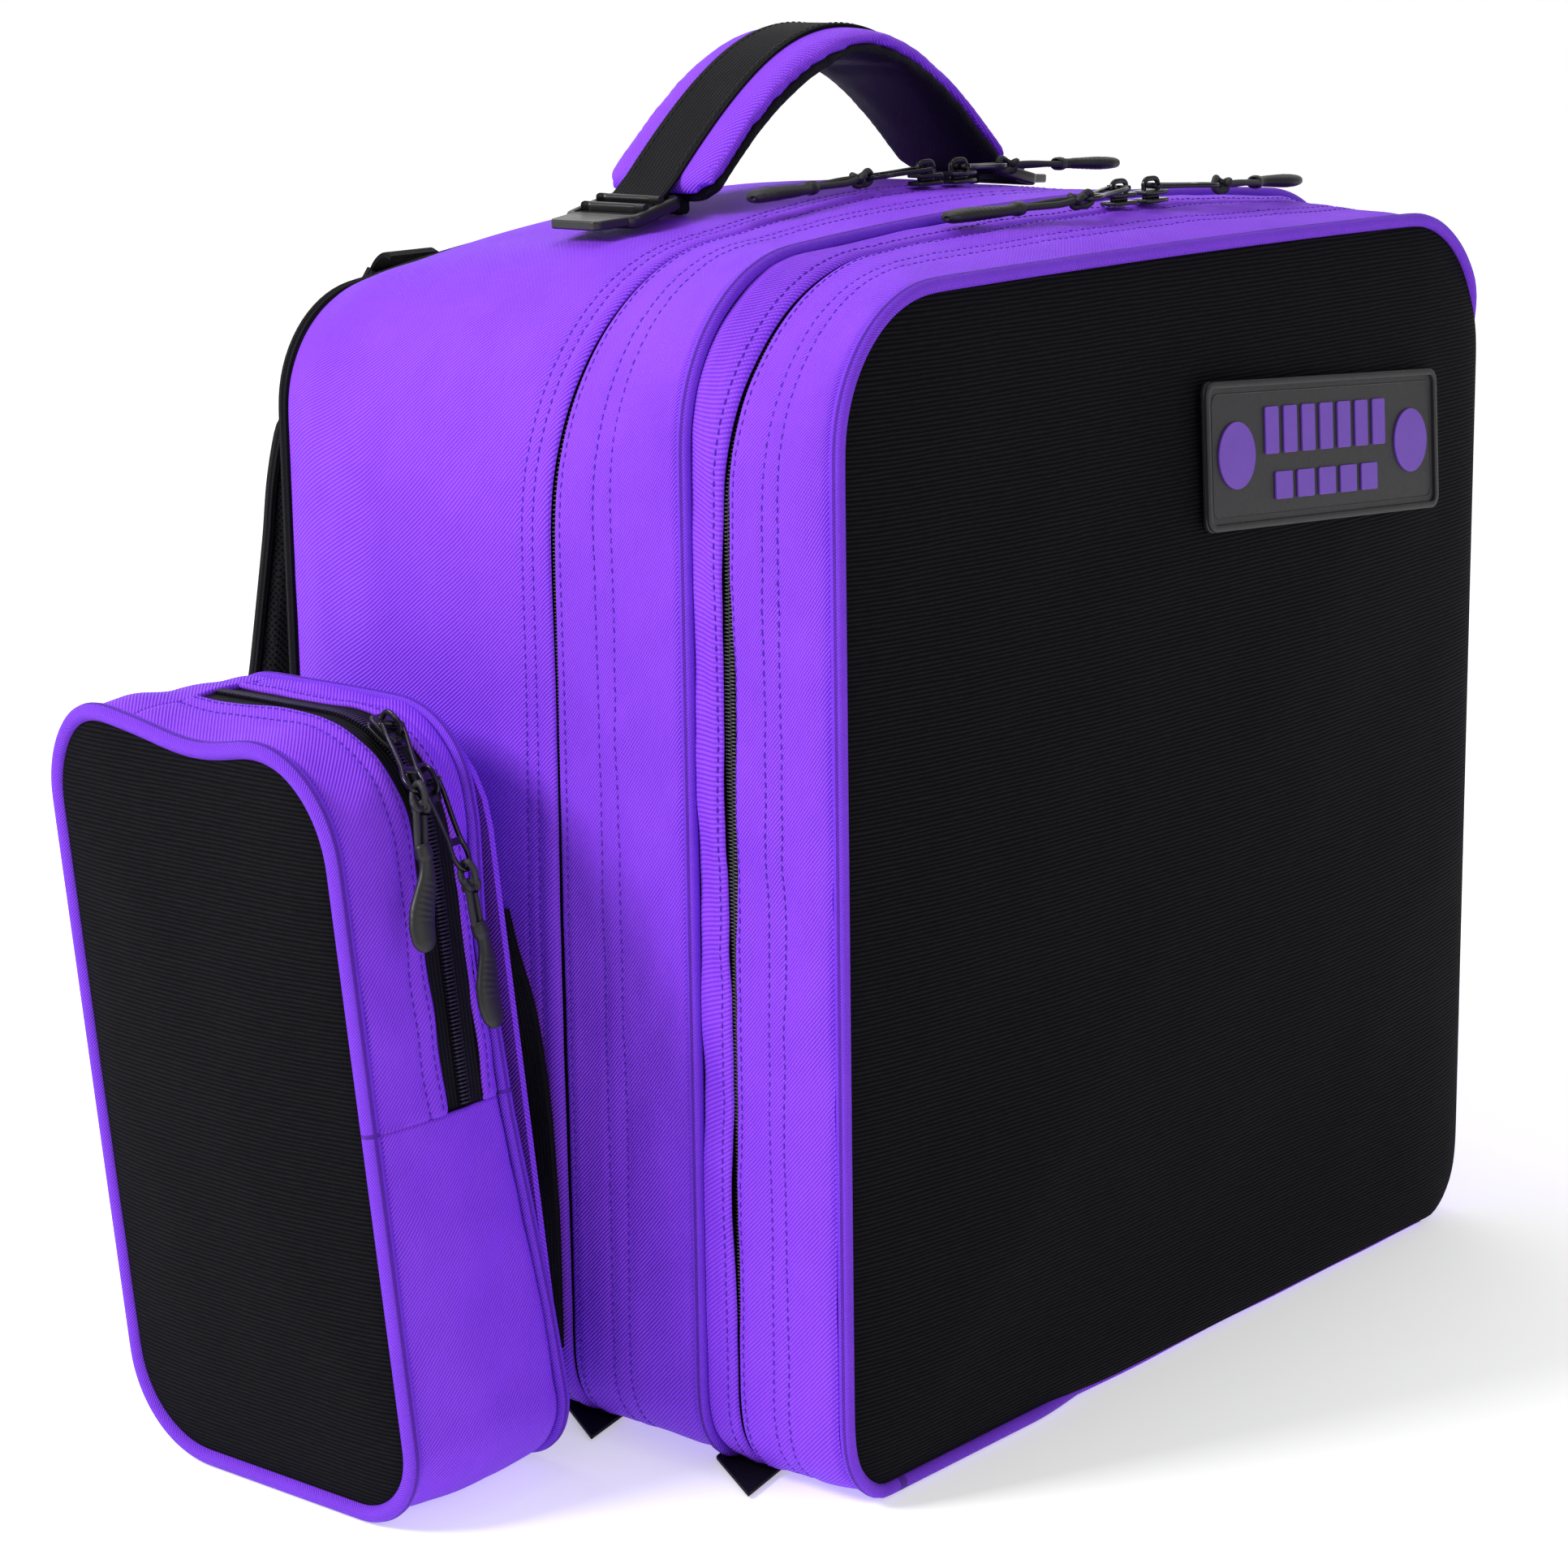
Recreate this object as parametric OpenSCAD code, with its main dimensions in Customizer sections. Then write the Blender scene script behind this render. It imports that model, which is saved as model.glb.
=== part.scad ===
// Boxy two-compartment sports backpack with a side pocket, top handle and shoulder straps.
// The bag stands on its flat base. X runs across the front, Y from the front to the back, Z up.

/* [Bag body] */
// Width of the bag across the front
bag_w = 400; // [380:5:420]
// Height of the front panel
front_h = 410; // [395:5:425]
// Depth of the shell from the front seam to the back seam
depth = 262; // [250:2:280]
// Distance from the front seam to the front zip
front_zip_y = 44; // [40:1:48]
// Distance from the front seam to the piped seam of the divider
divider_y = 62; // [58:1:66]
// Distance from the front seam to the main zip
main_zip_y = 123; // [112:1:130]
// Forward swell of the padded front panel
front_crown = 15; // [8:1:20]
// Thickness of the gusset fabric with its foam
wall = 2.5; // [2:0.1:3]
// Radius of the piping cord
piping_r = 2.6; // [2:0.1:3]

/* [Side pocket] */
// Length of the pocket from front to back
pocket_len = 139; // [125:1:145]
// Height of the pocket
pocket_h = 264; // [240:2:280]
// Thickness of the pocket from its back panel to its outer panel
pocket_depth = 75; // [68:1:80]
// Gap between the pocket and the side of the bag
pocket_gap = 24; // [20:1:28]
// How far the pocket leans back from its bottom to its top
pocket_lean = 34; // [20:1:40]

/* [Handle and straps] */
// Height of the handle above the crest of the bag
handle_rise = 57; // [50:1:66]
// Half of the handle's span
handle_half = 95; // [90:1:100]
// Width of the handle pad
handle_w = 50; // [40:1:50]
// Width of the webbing used for every strap
webbing_w = 25; // [20:1:27]
// Width of a shoulder pad
pad_w = 68; // [56:1:68]
// Thickness of a shoulder pad
pad_t = 13; // [10:1:15]
// Distance of each shoulder strap from the middle of the bag
strap_x = 116; // [100:1:120]

/* [Zip pulls] */
// Length of a metal pull tab
tab_len = 33; // [28:1:36]
// Length of a rubber grip
grip_len = 36; // [30:1:38]
// Thickness of the pull cord
cord_d = 2.4; // [2:0.1:2.6]

/* [Hidden] */

purple = [0.45, 0.22, 0.87];
black = [0.06, 0.06, 0.07];
charcoal = [0.13, 0.13, 0.14];
steel_black = [0.10, 0.10, 0.11];

// Place of the bag in the frame, so that the whole object is centred over the origin
middle_x = 52.8;
seam_y = -162;

corner_steps = 6;
crown_steps = 6;
tube_sides = 8;
clear = 0.3;            // gap between neighbouring pieces
split_z = 70;           // below this height the shell stays with the base
base_t = 4;             // thickness of the reinforced base
foot_r = 26;            // radius of the lower edges
panel_z = 3;            // height of the lower edge of the upright panels
edge_gap = piping_r + clear;

// ---- shape of the shell ----

// Each outline of the shell at depth y has a half width, a crest height, a corner radius
// and a fall of the crest towards the corners.
function shell_half(y) = bag_w / 2 + lookup(y, [[0, -2], [10, 1], [front_zip_y, 3], [divider_y, 1],
    [main_zip_y, 1], [main_zip_y + 42, 2], [depth - 50, 1], [depth - 17, -3], [depth, -8]]);
function shell_top(y) = front_h + lookup(y, [[0, 0], [10, 3], [front_zip_y, 10], [divider_y, 13],
    [main_zip_y, 15], [main_zip_y + 42, 17], [depth - 50, 14], [depth - 17, 7], [depth, 0]]);
function shell_corner(y) = lookup(y, [[0, 50], [10, 60], [front_zip_y, 84], [divider_y, 58],
    [divider_y + 28, 75], [main_zip_y, 95], [main_zip_y + 42, 95], [depth - 50, 80],
    [depth - 17, 55], [depth, 42]]);
function shell_fall(y) = lookup(y, [[0, 1], [front_zip_y, 4], [divider_y, 6], [main_zip_y, 9],
    [depth, 14]]);
function surface_z(x, y) = let (r = shell_corner(y), flat = shell_half(y) - r,
    over = max(abs(x) - flat, 0)) shell_top(y) - shell_fall(y) * pow(min(abs(x) / flat, 1), 2)
    - (r - sqrt(r * r - over * over));

// ---- outlines ----

function arc_pts(cx, cy, r, a0, a1, n = corner_steps) =
    [for (i = [0:n]) let (a = a0 + (a1 - a0) * i / n) [cx + r * cos(a), cy + r * sin(a)]];

// Open outline over the top of the shell, from z0 on the left to z0 on the right
function arch(y, inset, z0) = let (r = shell_corner(y) - inset, flat = shell_half(y) - shell_corner(y),
    top = shell_top(y) - inset, fall = shell_fall(y)) concat(
    [[-flat - r, z0]],
    arc_pts(-flat, top - fall - r, r, 180, 90),
    [for (i = [1:crown_steps - 1]) let (x = flat * (2 * i / crown_steps - 1))
        [x, top - fall * pow(x / flat, 2)]],
    arc_pts(flat, top - fall - r, r, 90, 0),
    [[flat + r, z0]]);

// Open outline under the base, from split_z on the left to split_z on the right
function trough(y, inset) = let (hw = shell_half(y) - inset, r = foot_r - inset) concat(
    [[-hw, split_z]], arc_pts(-hw + r, inset + r, r, 180, 270),
    arc_pts(hw - r, inset + r, r, 270, 360), [[hw, split_z]]);

// Closed outline of an upright panel that fills the shell at depth y
function panel_outline(y, inset, z0 = panel_z) = let (hw = shell_half(y) - inset, r = foot_r - inset)
    concat(arch(y, inset, z0 + foot_r), arc_pts(hw - r, z0 + foot_r, r, -15, -90),
    arc_pts(-hw + r, z0 + foot_r, r, -90, -165));

// Points round one corner of a polygon
function corner_arc(a, p, b, r, n = corner_steps) = let (u = unit(a - p), v = unit(b - p),
    half = acos(u * v) / 2, c = p + unit(u + v) * r / sin(half), s = p + u * r / tan(half) - c,
    turn = (u[0] * v[1] - u[1] * v[0] > 0 ? -1 : 1) * (180 - 2 * half))
    [for (i = [0:n]) let (t = turn * i / n)
        c + [s[0] * cos(t) - s[1] * sin(t), s[0] * sin(t) + s[1] * cos(t)]];

function unit(v) = v / norm(v);

// ---- swept and lofted solids ----

// Solid through a row of sections that all have the same number of points
module sweep(sections, closed = false) {
    n = len(sections);
    m = len(sections[0]);
    sides = [for (i = [0:closed ? n - 1 : n - 2], j = [0:m - 1])
        let (k = (i + 1) % n, l = (j + 1) % m)
        each [[i * m + j, k * m + l, i * m + l], [i * m + j, k * m + j, k * m + l]]];
    caps = closed ? [] : [[for (j = [0:m - 1]) j], [for (j = [m - 1:-1:0]) (n - 1) * m + j]];
    outward([for (s = sections) each s], concat(sides, caps));
}

// Six times the volume inside a closed set of faces, negative for faces turned outward
function enclosed(points, faces) = let (parts = [for (f = faces, i = [1:len(f) - 2])
    points[f[0]] * cross(points[f[i]], points[f[i + 1]])]) parts * [for (p = parts) 1];

// Polyhedron with its faces turned outward, whichever way round they are given
module outward(points, faces) {
    turned = enclosed(points, faces) < 0 ? faces
        : [for (f = faces) [for (i = [len(f) - 1:-1:0]) f[i]]];
    polyhedron(points = points, faces = turned);
}

function path_dir(path, i, closed) = let (n = len(path))
    unit(path[closed ? (i + 1) % n : min(i + 1, n - 1)] - path[closed ? (i + n - 1) % n : max(i - 1, 0)]);

// Sections of a profile carried along a path; profile(k) gives its points, with k from 0 to 1
function carried(path, profile, up, closed = false) = [for (i = [0:len(path) - 1])
    let (t = path_dir(path, i, closed), s = unit(cross(t, up)), u = cross(s, t))
    [for (p = profile(i / (len(path) - 1))) path[i] + s * p[0] + u * p[1]]];

function round_profile(r) = [for (i = [0:tube_sides - 1]) r * [cos(360 * i / tube_sides),
    sin(360 * i / tube_sides)]];
function flat_profile(t, w) = [[-t / 2, -w / 2], [t / 2, -w / 2], [t / 2, w / 2], [-t / 2, w / 2]];
function soft_profile(t, w) = [[-t / 2, -w / 2 + t * 0.4], [-t * 0.3, -w / 2], [t * 0.3, -w / 2],
    [t / 2, -w / 2 + t * 0.4], [t / 2, w / 2 - t * 0.4], [t * 0.3, w / 2], [-t * 0.3, w / 2],
    [-t / 2, w / 2 - t * 0.4]];

module tube(path, r, up, closed = false) {
    sweep(carried(path, function (k) round_profile(r), up, closed), closed);
}

module ribbon(path, t, w, up) {
    sweep(carried(path, function (k) flat_profile(t, w), up));
}

// Band of fabric between an outline and the same outline further in, through the depths ys
module band(outline, ys, inset, thick) {
    outer = [for (y = ys) outline(y, inset)];
    inner = [for (y = ys) outline(y, inset + thick)];
    last = len(ys) - 1;
    sweep([for (i = [0:len(outer[0]) - 1]) concat(
        [for (j = [0:last]) [outer[j][i][0], ys[j], outer[j][i][1]]],
        [for (j = [last:-1:0]) [inner[j][i][0], ys[j], inner[j][i][1]]])]);
}

over_top = function (y, inset) arch(y, inset, split_z + clear);

// Upright slab of an outline in X and Z, between two depths
module slab(outline, y0, y1) {
    translate([0, y1, 0]) rotate([90, 0, 0]) linear_extrude(y1 - y0) polygon(outline);
}

// Padded panel in the XY plane that swells towards +Z by crown; thick is its edge thickness
module swollen_panel(outline, crown, thick) {
    mid = [for (k = [0, 1]) (max([for (p = outline) p[k]]) + min([for (p = outline) p[k]])) / 2];
    scales = [0.03, 0.45, 0.75, 0.92, 1];
    face = function (s, lift, z) [for (p = outline) let (q = mid + (p - mid) * s)
        [q[0], q[1], z + lift * (1 - s * s)]];
    sweep(concat([for (s = scales) face(s, crown, thick)],
        [for (i = [len(scales) - 1:-1:0]) face(scales[i], crown - thick, 0)]));
}

module at_bag() { translate([middle_x, seam_y, 0]) children(); }

// ---- front cover ----

module front_panel() {
    color(black) at_bag() translate([0, clear, 0]) rotate([90, 0, 0])
        swollen_panel(panel_outline(0, edge_gap + 1.5), front_crown, wall);
}

module front_stiffener() {
    color(charcoal) at_bag() slab(panel_outline(0, 14, 12), 1, 3);
}

// The patch sits in the upper right of the front panel, square to its swollen face
patch_size = [162, 53];
patch_at = [68, 332];
patch_t = 2.4;
patch_tilt = 5;      // leans back towards the top
patch_yaw = 1.5;     // turns away towards the right side
patch_roll = -4;     // drops towards the right side
patch_y = -front_crown * 0.6 - wall - 0.6;

module on_patch() {
    at_bag() translate([patch_at[0], patch_y, patch_at[1]]) rotate([90 - patch_tilt, 0, patch_yaw])
        rotate([0, 0, patch_roll]) children();
}

module rounded_plate(size, r, h) {
    linear_extrude(h) {
        square([size[0] - 2 * r, size[1]], center = true);
        square([size[0], size[1] - 2 * r], center = true);
        for (sx = [-1, 1], sy = [-1, 1])
            translate([sx * (size[0] / 2 - r), sy * (size[1] / 2 - r)]) circle(r, $fn = 24);
    }
}

module emblem_patch() {
    rim = 2.5;
    color(charcoal) on_patch() difference() {
        rounded_plate(patch_size, 4, patch_t);
        translate([0, 0, patch_t - 0.8])
            rounded_plate(patch_size - [2 * rim, 2 * rim], 3, patch_t);
    }
}

// Plain geometric motif: a disc at each end and two rows of bars between them
module emblem_motif() {
    motif_t = 0.8;
    color(purple) on_patch() translate([0, 0, patch_t - 0.75]) linear_extrude(motif_t) {
        for (side = [-1, 1]) translate([side * 61, 0]) circle(12, $fn = 48);
        for (i = [-3:3]) translate([12.5 * i, 8]) square([9, 17], center = true);
        for (i = [-2:2]) translate([15 * i, -12]) square([11.5, 10], center = true);
    }
}

module front_piping() {
    ring = [for (p = panel_outline(0, 1.5)) [p[0], 0, p[1]]];
    color(purple) at_bag() tube(ring, piping_r, [0, 1, 0], closed = true);
}

module front_gusset() {
    color(purple) at_bag() band(over_top, [edge_gap, 10, 26, front_zip_y - 0.5], 0, wall);
}

tape_w = 11;
tape_t = 1.2;
tape_inset = wall + clear;

module front_zip_cover_tape() {
    color(black) at_bag() band(over_top, [front_zip_y - tape_w, front_zip_y - clear], tape_inset, tape_t);
}

// ---- middle section ----

module front_zip_body_tape() {
    color(black) at_bag() band(over_top, [front_zip_y + clear, front_zip_y + tape_w], tape_inset, tape_t);
}

module mid_gusset_front() {
    color(purple) at_bag() band(over_top, [front_zip_y + 0.5, divider_y - edge_gap], 0, wall);
}

module mid_piping() {
    path = [for (p = arch(divider_y, 0, split_z + 1)) [p[0], divider_y, p[1]]];
    color(purple) at_bag() tube(path, piping_r, [0, 1, 0]);
}

module divider_panel() {
    color(black) at_bag() slab(panel_outline(divider_y, base_t + 1.2, base_t + 1), divider_y - 1,
        divider_y + 1);
}

module mid_gusset_rear() {
    color(purple) at_bag() band(over_top, [divider_y + edge_gap, divider_y + 28, main_zip_y - 0.5], 0,
        wall);
}

module main_zip_front_tape() {
    color(black) at_bag() band(over_top, [main_zip_y - tape_w, main_zip_y - clear], tape_inset, tape_t);
}

// ---- rear shell and base ----

module main_zip_rear_tape() {
    color(black) at_bag() band(over_top, [main_zip_y + clear, main_zip_y + tape_w], tape_inset, tape_t);
}

module rear_gusset() {
    color(purple) at_bag() band(over_top,
        [main_zip_y + 0.5, main_zip_y + 42, depth - 50, depth - 17, depth - edge_gap], 0, wall);
}

module base_panel() {
    color(purple) at_bag() band(function (y, inset) trough(y, inset),
        [edge_gap, 10, front_zip_y, divider_y, main_zip_y, depth - 50, depth - 17, depth - edge_gap],
        0, base_t);
}

back_t = 11;

module back_panel() {
    color(black) at_bag() translate([0, depth - clear, 0]) mirror([0, 1, 0]) rotate([90, 0, 0])
        swollen_panel(panel_outline(depth, edge_gap + 1.5), back_t - wall, wall);
}

module back_binding() {
    ring = [for (p = panel_outline(depth, 1.5)) [p[0], depth, p[1]]];
    color(black) at_bag() tube(ring, piping_r, [0, 1, 0], closed = true);
}

// ---- side pocket ----

pocket_y = 97;                       // front lower corner of the pocket
pocket_z = 1.3;                      // its lowest edge
side_x = -shell_half(main_zip_y + 42);
pocket_in = side_x - pocket_gap;
pocket_out = pocket_in - pocket_depth;
pocket_top = pocket_z + pocket_h;
pocket_radii = [26, 38, 30, 46];     // lower front, lower rear, upper rear, upper front

function pocket_front(z) = pocket_y + pocket_lean * (z - pocket_z) / pocket_h;
function pocket_corner(i, inset) = [[pocket_y + inset, pocket_z + inset],
    [pocket_y + pocket_len - inset, pocket_z + inset],
    [pocket_y + pocket_len + pocket_lean - inset, pocket_top - inset],
    [pocket_y + pocket_lean + inset, pocket_top - inset]][i];
function pocket_bend(i, inset) = corner_arc(pocket_corner((i + 3) % 4, inset), pocket_corner(i, inset),
    pocket_corner((i + 1) % 4, inset), pocket_radii[i] - inset);
function pocket_outline(inset) = [for (i = [0:3]) each pocket_bend(i, inset)];

// Turns a shape drawn in Y and Z so that its height runs along X
module along_x(x) { at_bag() translate([x, 0, 0]) rotate([90, 0, 90]) children(); }

// The zip frees the upper front corner of the outer half of the pocket. That flap folds about
// the line between the two ends of the zip.
pocket_zip_x = pocket_out + 42;
pocket_zip_end = 137;                // height of the lower end of the zip
pocket_zip_back = 42;                // distance of its upper end from the rear edge
pocket_tape_t = 1.2;
pocket_tape_w = 20;
tape_lift = 0.2;
fold_low = [pocket_front(pocket_zip_end), pocket_zip_end];
fold_high = [pocket_y + pocket_len + pocket_lean - pocket_zip_back, pocket_top];
fold_dir = unit(fold_high - fold_low);
fold_angle = atan2(fold_dir[1], fold_dir[0]);

// Half space on the flap's side of the fold, drawn in Y and Z, set back by gap
module flap_side(gap) {
    translate(fold_low) rotate(fold_angle) translate([-300, gap]) square([600, 300]);
}

module cut_at_fold(x0, length, flap) {
    intersection() {
        children();
        along_x(x0) linear_extrude(length) if (flap) flap_side(0.4); else difference() {
            square(1200, center = true);
            flap_side(-0.4);
        }
    }
}

module pocket_face() {
    along_x(pocket_out + clear) mirror([0, 0, 1])
        swollen_panel(pocket_outline(edge_gap + 1.5), 6, wall);
}

module pocket_ring(x) {
    ring = [for (p = pocket_outline(1.5)) [x, p[0], p[1]]];
    at_bag() tube(ring, piping_r, [1, 0, 0], closed = true);
}

module gusset_ring(x0, x1) {
    along_x(x0) linear_extrude(x1 - x0) difference() {
        polygon(pocket_outline(0));
        polygon(pocket_outline(wall));
    }
}

// Path of the pocket zip: along the top, over the upper front corner and down the front
function pocket_zip_path(x) = let (e = -tape_lift - pocket_tape_t / 2) [for (p = concat(
    [[fold_high[0] + 2, pocket_top - e]], pocket_bend(3, e),
    [[pocket_front(pocket_zip_end - 2) + e, pocket_zip_end - 2]])) [x, p[0], p[1]]];

module half_tape(side) {
    w = pocket_tape_w / 2 - clear;
    at_bag() ribbon(pocket_zip_path(pocket_zip_x + side * (clear + w / 2)), pocket_tape_t, w, [1, 0, 0]);
}

module pocket_outer_panel() {
    color(black) cut_at_fold(pocket_out - 20, 40, flap = false) pocket_face();
}

module pocket_outer_piping() {
    color(purple) cut_at_fold(pocket_out - 20, 40, flap = false) pocket_ring(pocket_out);
}

module pocket_flap() {
    color(black) cut_at_fold(pocket_out - 20, 100, flap = true) {
        pocket_face();
        pocket_ring(pocket_out);
        gusset_ring(pocket_out + edge_gap, pocket_zip_x - clear);
        half_tape(-1);
    }
}

module pocket_inner_piping() { color(purple) pocket_ring(pocket_in); }

module pocket_gusset() {
    color(purple) {
        cut_at_fold(pocket_out - 20, 100, flap = false)
            gusset_ring(pocket_out + edge_gap, pocket_zip_x + clear);
        gusset_ring(pocket_zip_x + clear, pocket_in - edge_gap);
    }
}

module pocket_back_panel() {
    color(purple) along_x(pocket_in - wall / 2) linear_extrude(wall)
        polygon(pocket_outline(edge_gap + 1.5));
}

module pocket_zip() { color(black) half_tape(1); }

// Two webbing strips that hold the pocket on the side of the bag
module pocket_mounts() {
    x0 = pocket_in + wall / 2 + clear;
    color(black) at_bag() for (z = [72, 196])
        translate([x0, pocket_front(z) + 62, z]) cube([side_x - clear - x0, 60, webbing_w]);
}

// ---- webbing at the side and the base ----

webbing_t = 1.6;

module side_webbing() {
    x = side_x - webbing_t / 2 - clear;
    path = [for (q = [[157, 186], [153, 172], [145, 150], [140, 120], [138, 95], [137, 72], [137, 32]])
        [x, q[0], q[1]]];
    color(black) at_bag() ribbon(path, webbing_t, webbing_w, [0, 1, 0]);
}

// Webbing ends that lie on the floor beside the base, cut at 45 degrees
module base_tabs() {
    lie = 14;
    color(black) at_bag() for (tip = [[-208, 35.5, 21], [-203, 112.6, 17]])
        translate([tip[0], tip[1], 0]) rotate([0, 0, lie]) linear_extrude(webbing_t)
            polygon([[0, 0], [tip[2], 0], [tip[2], tip[2]]]);
}

// ---- handle ----

handle_y = 172;
crest = shell_top(handle_y);
pad_thick = 11;

// Point on the arch of the handle at x, lift above the middle of the pad
function handle_pt(x, lift) = let (a = 90 * x / handle_half,
    slope = -handle_rise * PI / 2 / handle_half * sin(a), n = unit([-slope, 1]))
    [x + n[0] * lift, handle_y, crest - pad_thick / 2 + handle_rise * cos(a) + n[1] * lift];

// The arch starts clear of the pivot, so that the handle can tip
handle_start = 76;
handle_xs = [for (i = [-7:7]) handle_start * sin(90 * i / 7)];

module handle_pad() {
    width = function (k) min(handle_w, webbing_w + 1 + 160 * min(k, 1 - k));
    path = [for (x = handle_xs) handle_pt(x, 0)];
    color(purple) at_bag() sweep(carried(path, function (k) soft_profile(pad_thick, width(k)), [0, 1, 0]));
}

module handle_webbing() {
    path = [for (x = handle_xs) handle_pt(x * 0.985, pad_thick / 2 + webbing_t / 2 + 0.1)];
    color(black) at_bag() ribbon(path, webbing_t, webbing_w, [0, 1, 0]);
}

// Webbing stubs that rise from the shell at each end of the handle
module handle_anchors() {
    color(black) at_bag() for (side = [-1, 1])
        translate([side * 88, handle_y, surface_z(88, handle_y) + 1.1])
            rotate([0, -side * 20, 0]) translate([-1.5, -12, 0]) cube([3, 24, 8]);
}

module handle_buckle() {
    length = 40;
    difference() {
        hull() {
            translate([0, -17, 0]) cube([12, 34, 9]);
            translate([length - 4, -12, 0]) cube([4, 24, 5]);
        }
        translate([4, -13.5, -1]) cube([4.5, 27, 12]);
        translate([13, -13.5, 3]) cube([12, 27, 12]);
    }
}

module handle_buckles() {
    x0 = 94;
    x1 = x0 + 38;
    drop = atan((surface_z(x0, handle_y) - surface_z(x1, handle_y)) / (x1 - x0));
    color(black) at_bag() for (side = [0, 1]) mirror([1 - side, 0, 0])
        translate([x0, handle_y, surface_z(x0, handle_y) + 2.4]) rotate([0, drop, 0]) handle_buckle();
}

// ---- shoulder straps ----

yoke_z = 374;
yoke_y = depth + 5.5;
strap_y = depth + 15;                // depth of the line that a strap swings about

module strap_yoke() {
    color(black) at_bag() translate([-strap_x - 24, yoke_y, yoke_z]) cube([2 * strap_x + 48, 3, 16]);
}

// Side view of a shoulder strap's middle line: distance behind the swing line, and height
strap_curve = [[3, 398], [9, 385], [20, 364], [32, 342], [39, 320], [43, 297], [48, 272], [53, 248],
    [58, 225], [60, 200], [57, 170], [49, 142], [38, 118]];

function strap_pt(side, q, lift = 0) = [side * strap_x, strap_y + q[0] + lift, q[1]];

module strap_pad(side) {
    path = [for (q = strap_curve) strap_pt(side, q)];
    width = function (k) min(pad_w, webbing_w + 190 * k, 34 + 260 * (1 - k));
    thick = function (k) min(pad_t, 6 + 90 * k, 7 + 60 * (1 - k));
    color(black) at_bag() sweep(carried(path, function (k) soft_profile(thick(k), width(k)), [1, 0, 0]));
}

module strap_face_webbing(side) {
    n = len(strap_curve);
    path = [for (i = [3:n - 1]) strap_pt(side, strap_curve[i], pad_t / 2 + webbing_t + 0.8)];
    color(charcoal) at_bag() ribbon(path, webbing_t, webbing_w, [1, 0, 0]);
}

module strap_adjuster(side) {
    p = strap_pt(side, [34, 104]);
    color(black) at_bag() translate(p) rotate([24, 0, 0]) difference() {
        cube([34, 6, 18], center = true);
        for (z = [-4.5, 4.5]) translate([0, 0, z]) cube([webbing_w + 1, 8, 4], center = true);
    }
}

module strap_tail(side) {
    path = [for (q = [[29, 92], [22, 78], [11, 58], [4, 48]]) strap_pt(side, q)];
    color(black) at_bag() ribbon(path, webbing_t, webbing_w, [1, 0, 0]);
}

module strap_base_tabs() {
    color(black) at_bag() for (side = [-1, 1])
        translate([side * strap_x - 16, yoke_y, 20]) cube([32, 6, 22]);
}

module left_strap_pad() { strap_pad(-1); }

module left_strap_webbing() { strap_face_webbing(-1); }

module left_strap_adjuster() { strap_adjuster(-1); }

module left_strap_tail() { strap_tail(-1); }

module right_strap_pad() { strap_pad(1); }

module right_strap_webbing() { strap_face_webbing(1); }

module right_strap_adjuster() { strap_adjuster(1); }

module right_strap_tail() { strap_tail(1); }

// ---- zip sliders and pulls ----

slider_size = [14, 9, 4.5];
tab_t = 1.6;
tab_w = 9;
hinge_r = 1.2;
hinge_lift = slider_size[2] + hinge_r + clear;

// A slider drawn on the XY plane, with its pull side towards +X and its bridge over the hinge
module slider() {
    bridge_w = 2;
    difference() {
        union() {
            translate([-slider_size[0] / 2, -slider_size[1] / 2, 0]) cube(slider_size);
            for (x = [-5.2, 3.2]) translate([x, -bridge_w / 2, slider_size[2] - 0.1])
                cube([2, bridge_w, 4.6]);
            translate([-5.2, -bridge_w / 2, slider_size[2] + 3.4]) cube([10.4, bridge_w, 1.4]);
        }
        translate([-7.1, -0.6, 1.4]) cube([14.2, 1.2, 1.6]);
    }
}

// A pull tab that hangs from its cross bar at the origin and reaches along +X. Its opening is
// long enough for the tab to swing round the slider's bridge.
module tab() {
    arm = 1.5;
    open_x = 6.9;
    end_x = tab_len - tab_w / 2;
    difference() {
        union() {
            translate([open_x, -tab_w / 2, -tab_t / 2]) cube([end_x - open_x, tab_w, tab_t]);
            translate([end_x, 0, -tab_t / 2]) cylinder(r = tab_w / 2, h = tab_t, $fn = 32);
            for (y = [-tab_w / 2, tab_w / 2 - arm])
                translate([0, y, -tab_t / 2]) cube([open_x + 0.5, arm, tab_t]);
            rotate([90, 0, 0]) cylinder(r = hinge_r, h = tab_w, center = true, $fn = 24);
        }
        translate([end_x - 1, 0, -tab_t]) cylinder(r = 2.2, h = 2 * tab_t, $fn = 32);
    }
}

// A cord loop from the eye of the tab at the origin, and the rubber grip moulded on its end
module grip(cord_len) {
    half = cord_d / 2;
    start = 1.2;
    for (side = [-1, 1]) translate([start, side * (half + 0.2), 0]) rotate([0, 90, 0])
        cylinder(r = half, h = cord_len + 4, $fn = 12);
    translate([start + cord_len, 0, 0]) hull() {
        translate([2, 0, 0]) rotate([0, 90, 0]) cylinder(r = 2.6, h = 1, $fn = 16);
        translate([grip_len - 6, 0, 0]) scale([1, 1, 0.62]) sphere(4.8, $fn = 16);
    }
}

// A pull in the frame of its slider: yaw and droop turn the tab, bend and dip turn the grip
module hinged(yaw, droop) {
    translate([0, 0, hinge_lift]) rotate([0, 0, yaw]) rotate([0, droop, 0]) children();
}

module at_eye(bend, dip) { translate([tab_len, 0, 0]) rotate([0, dip, bend]) children(); }

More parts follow.
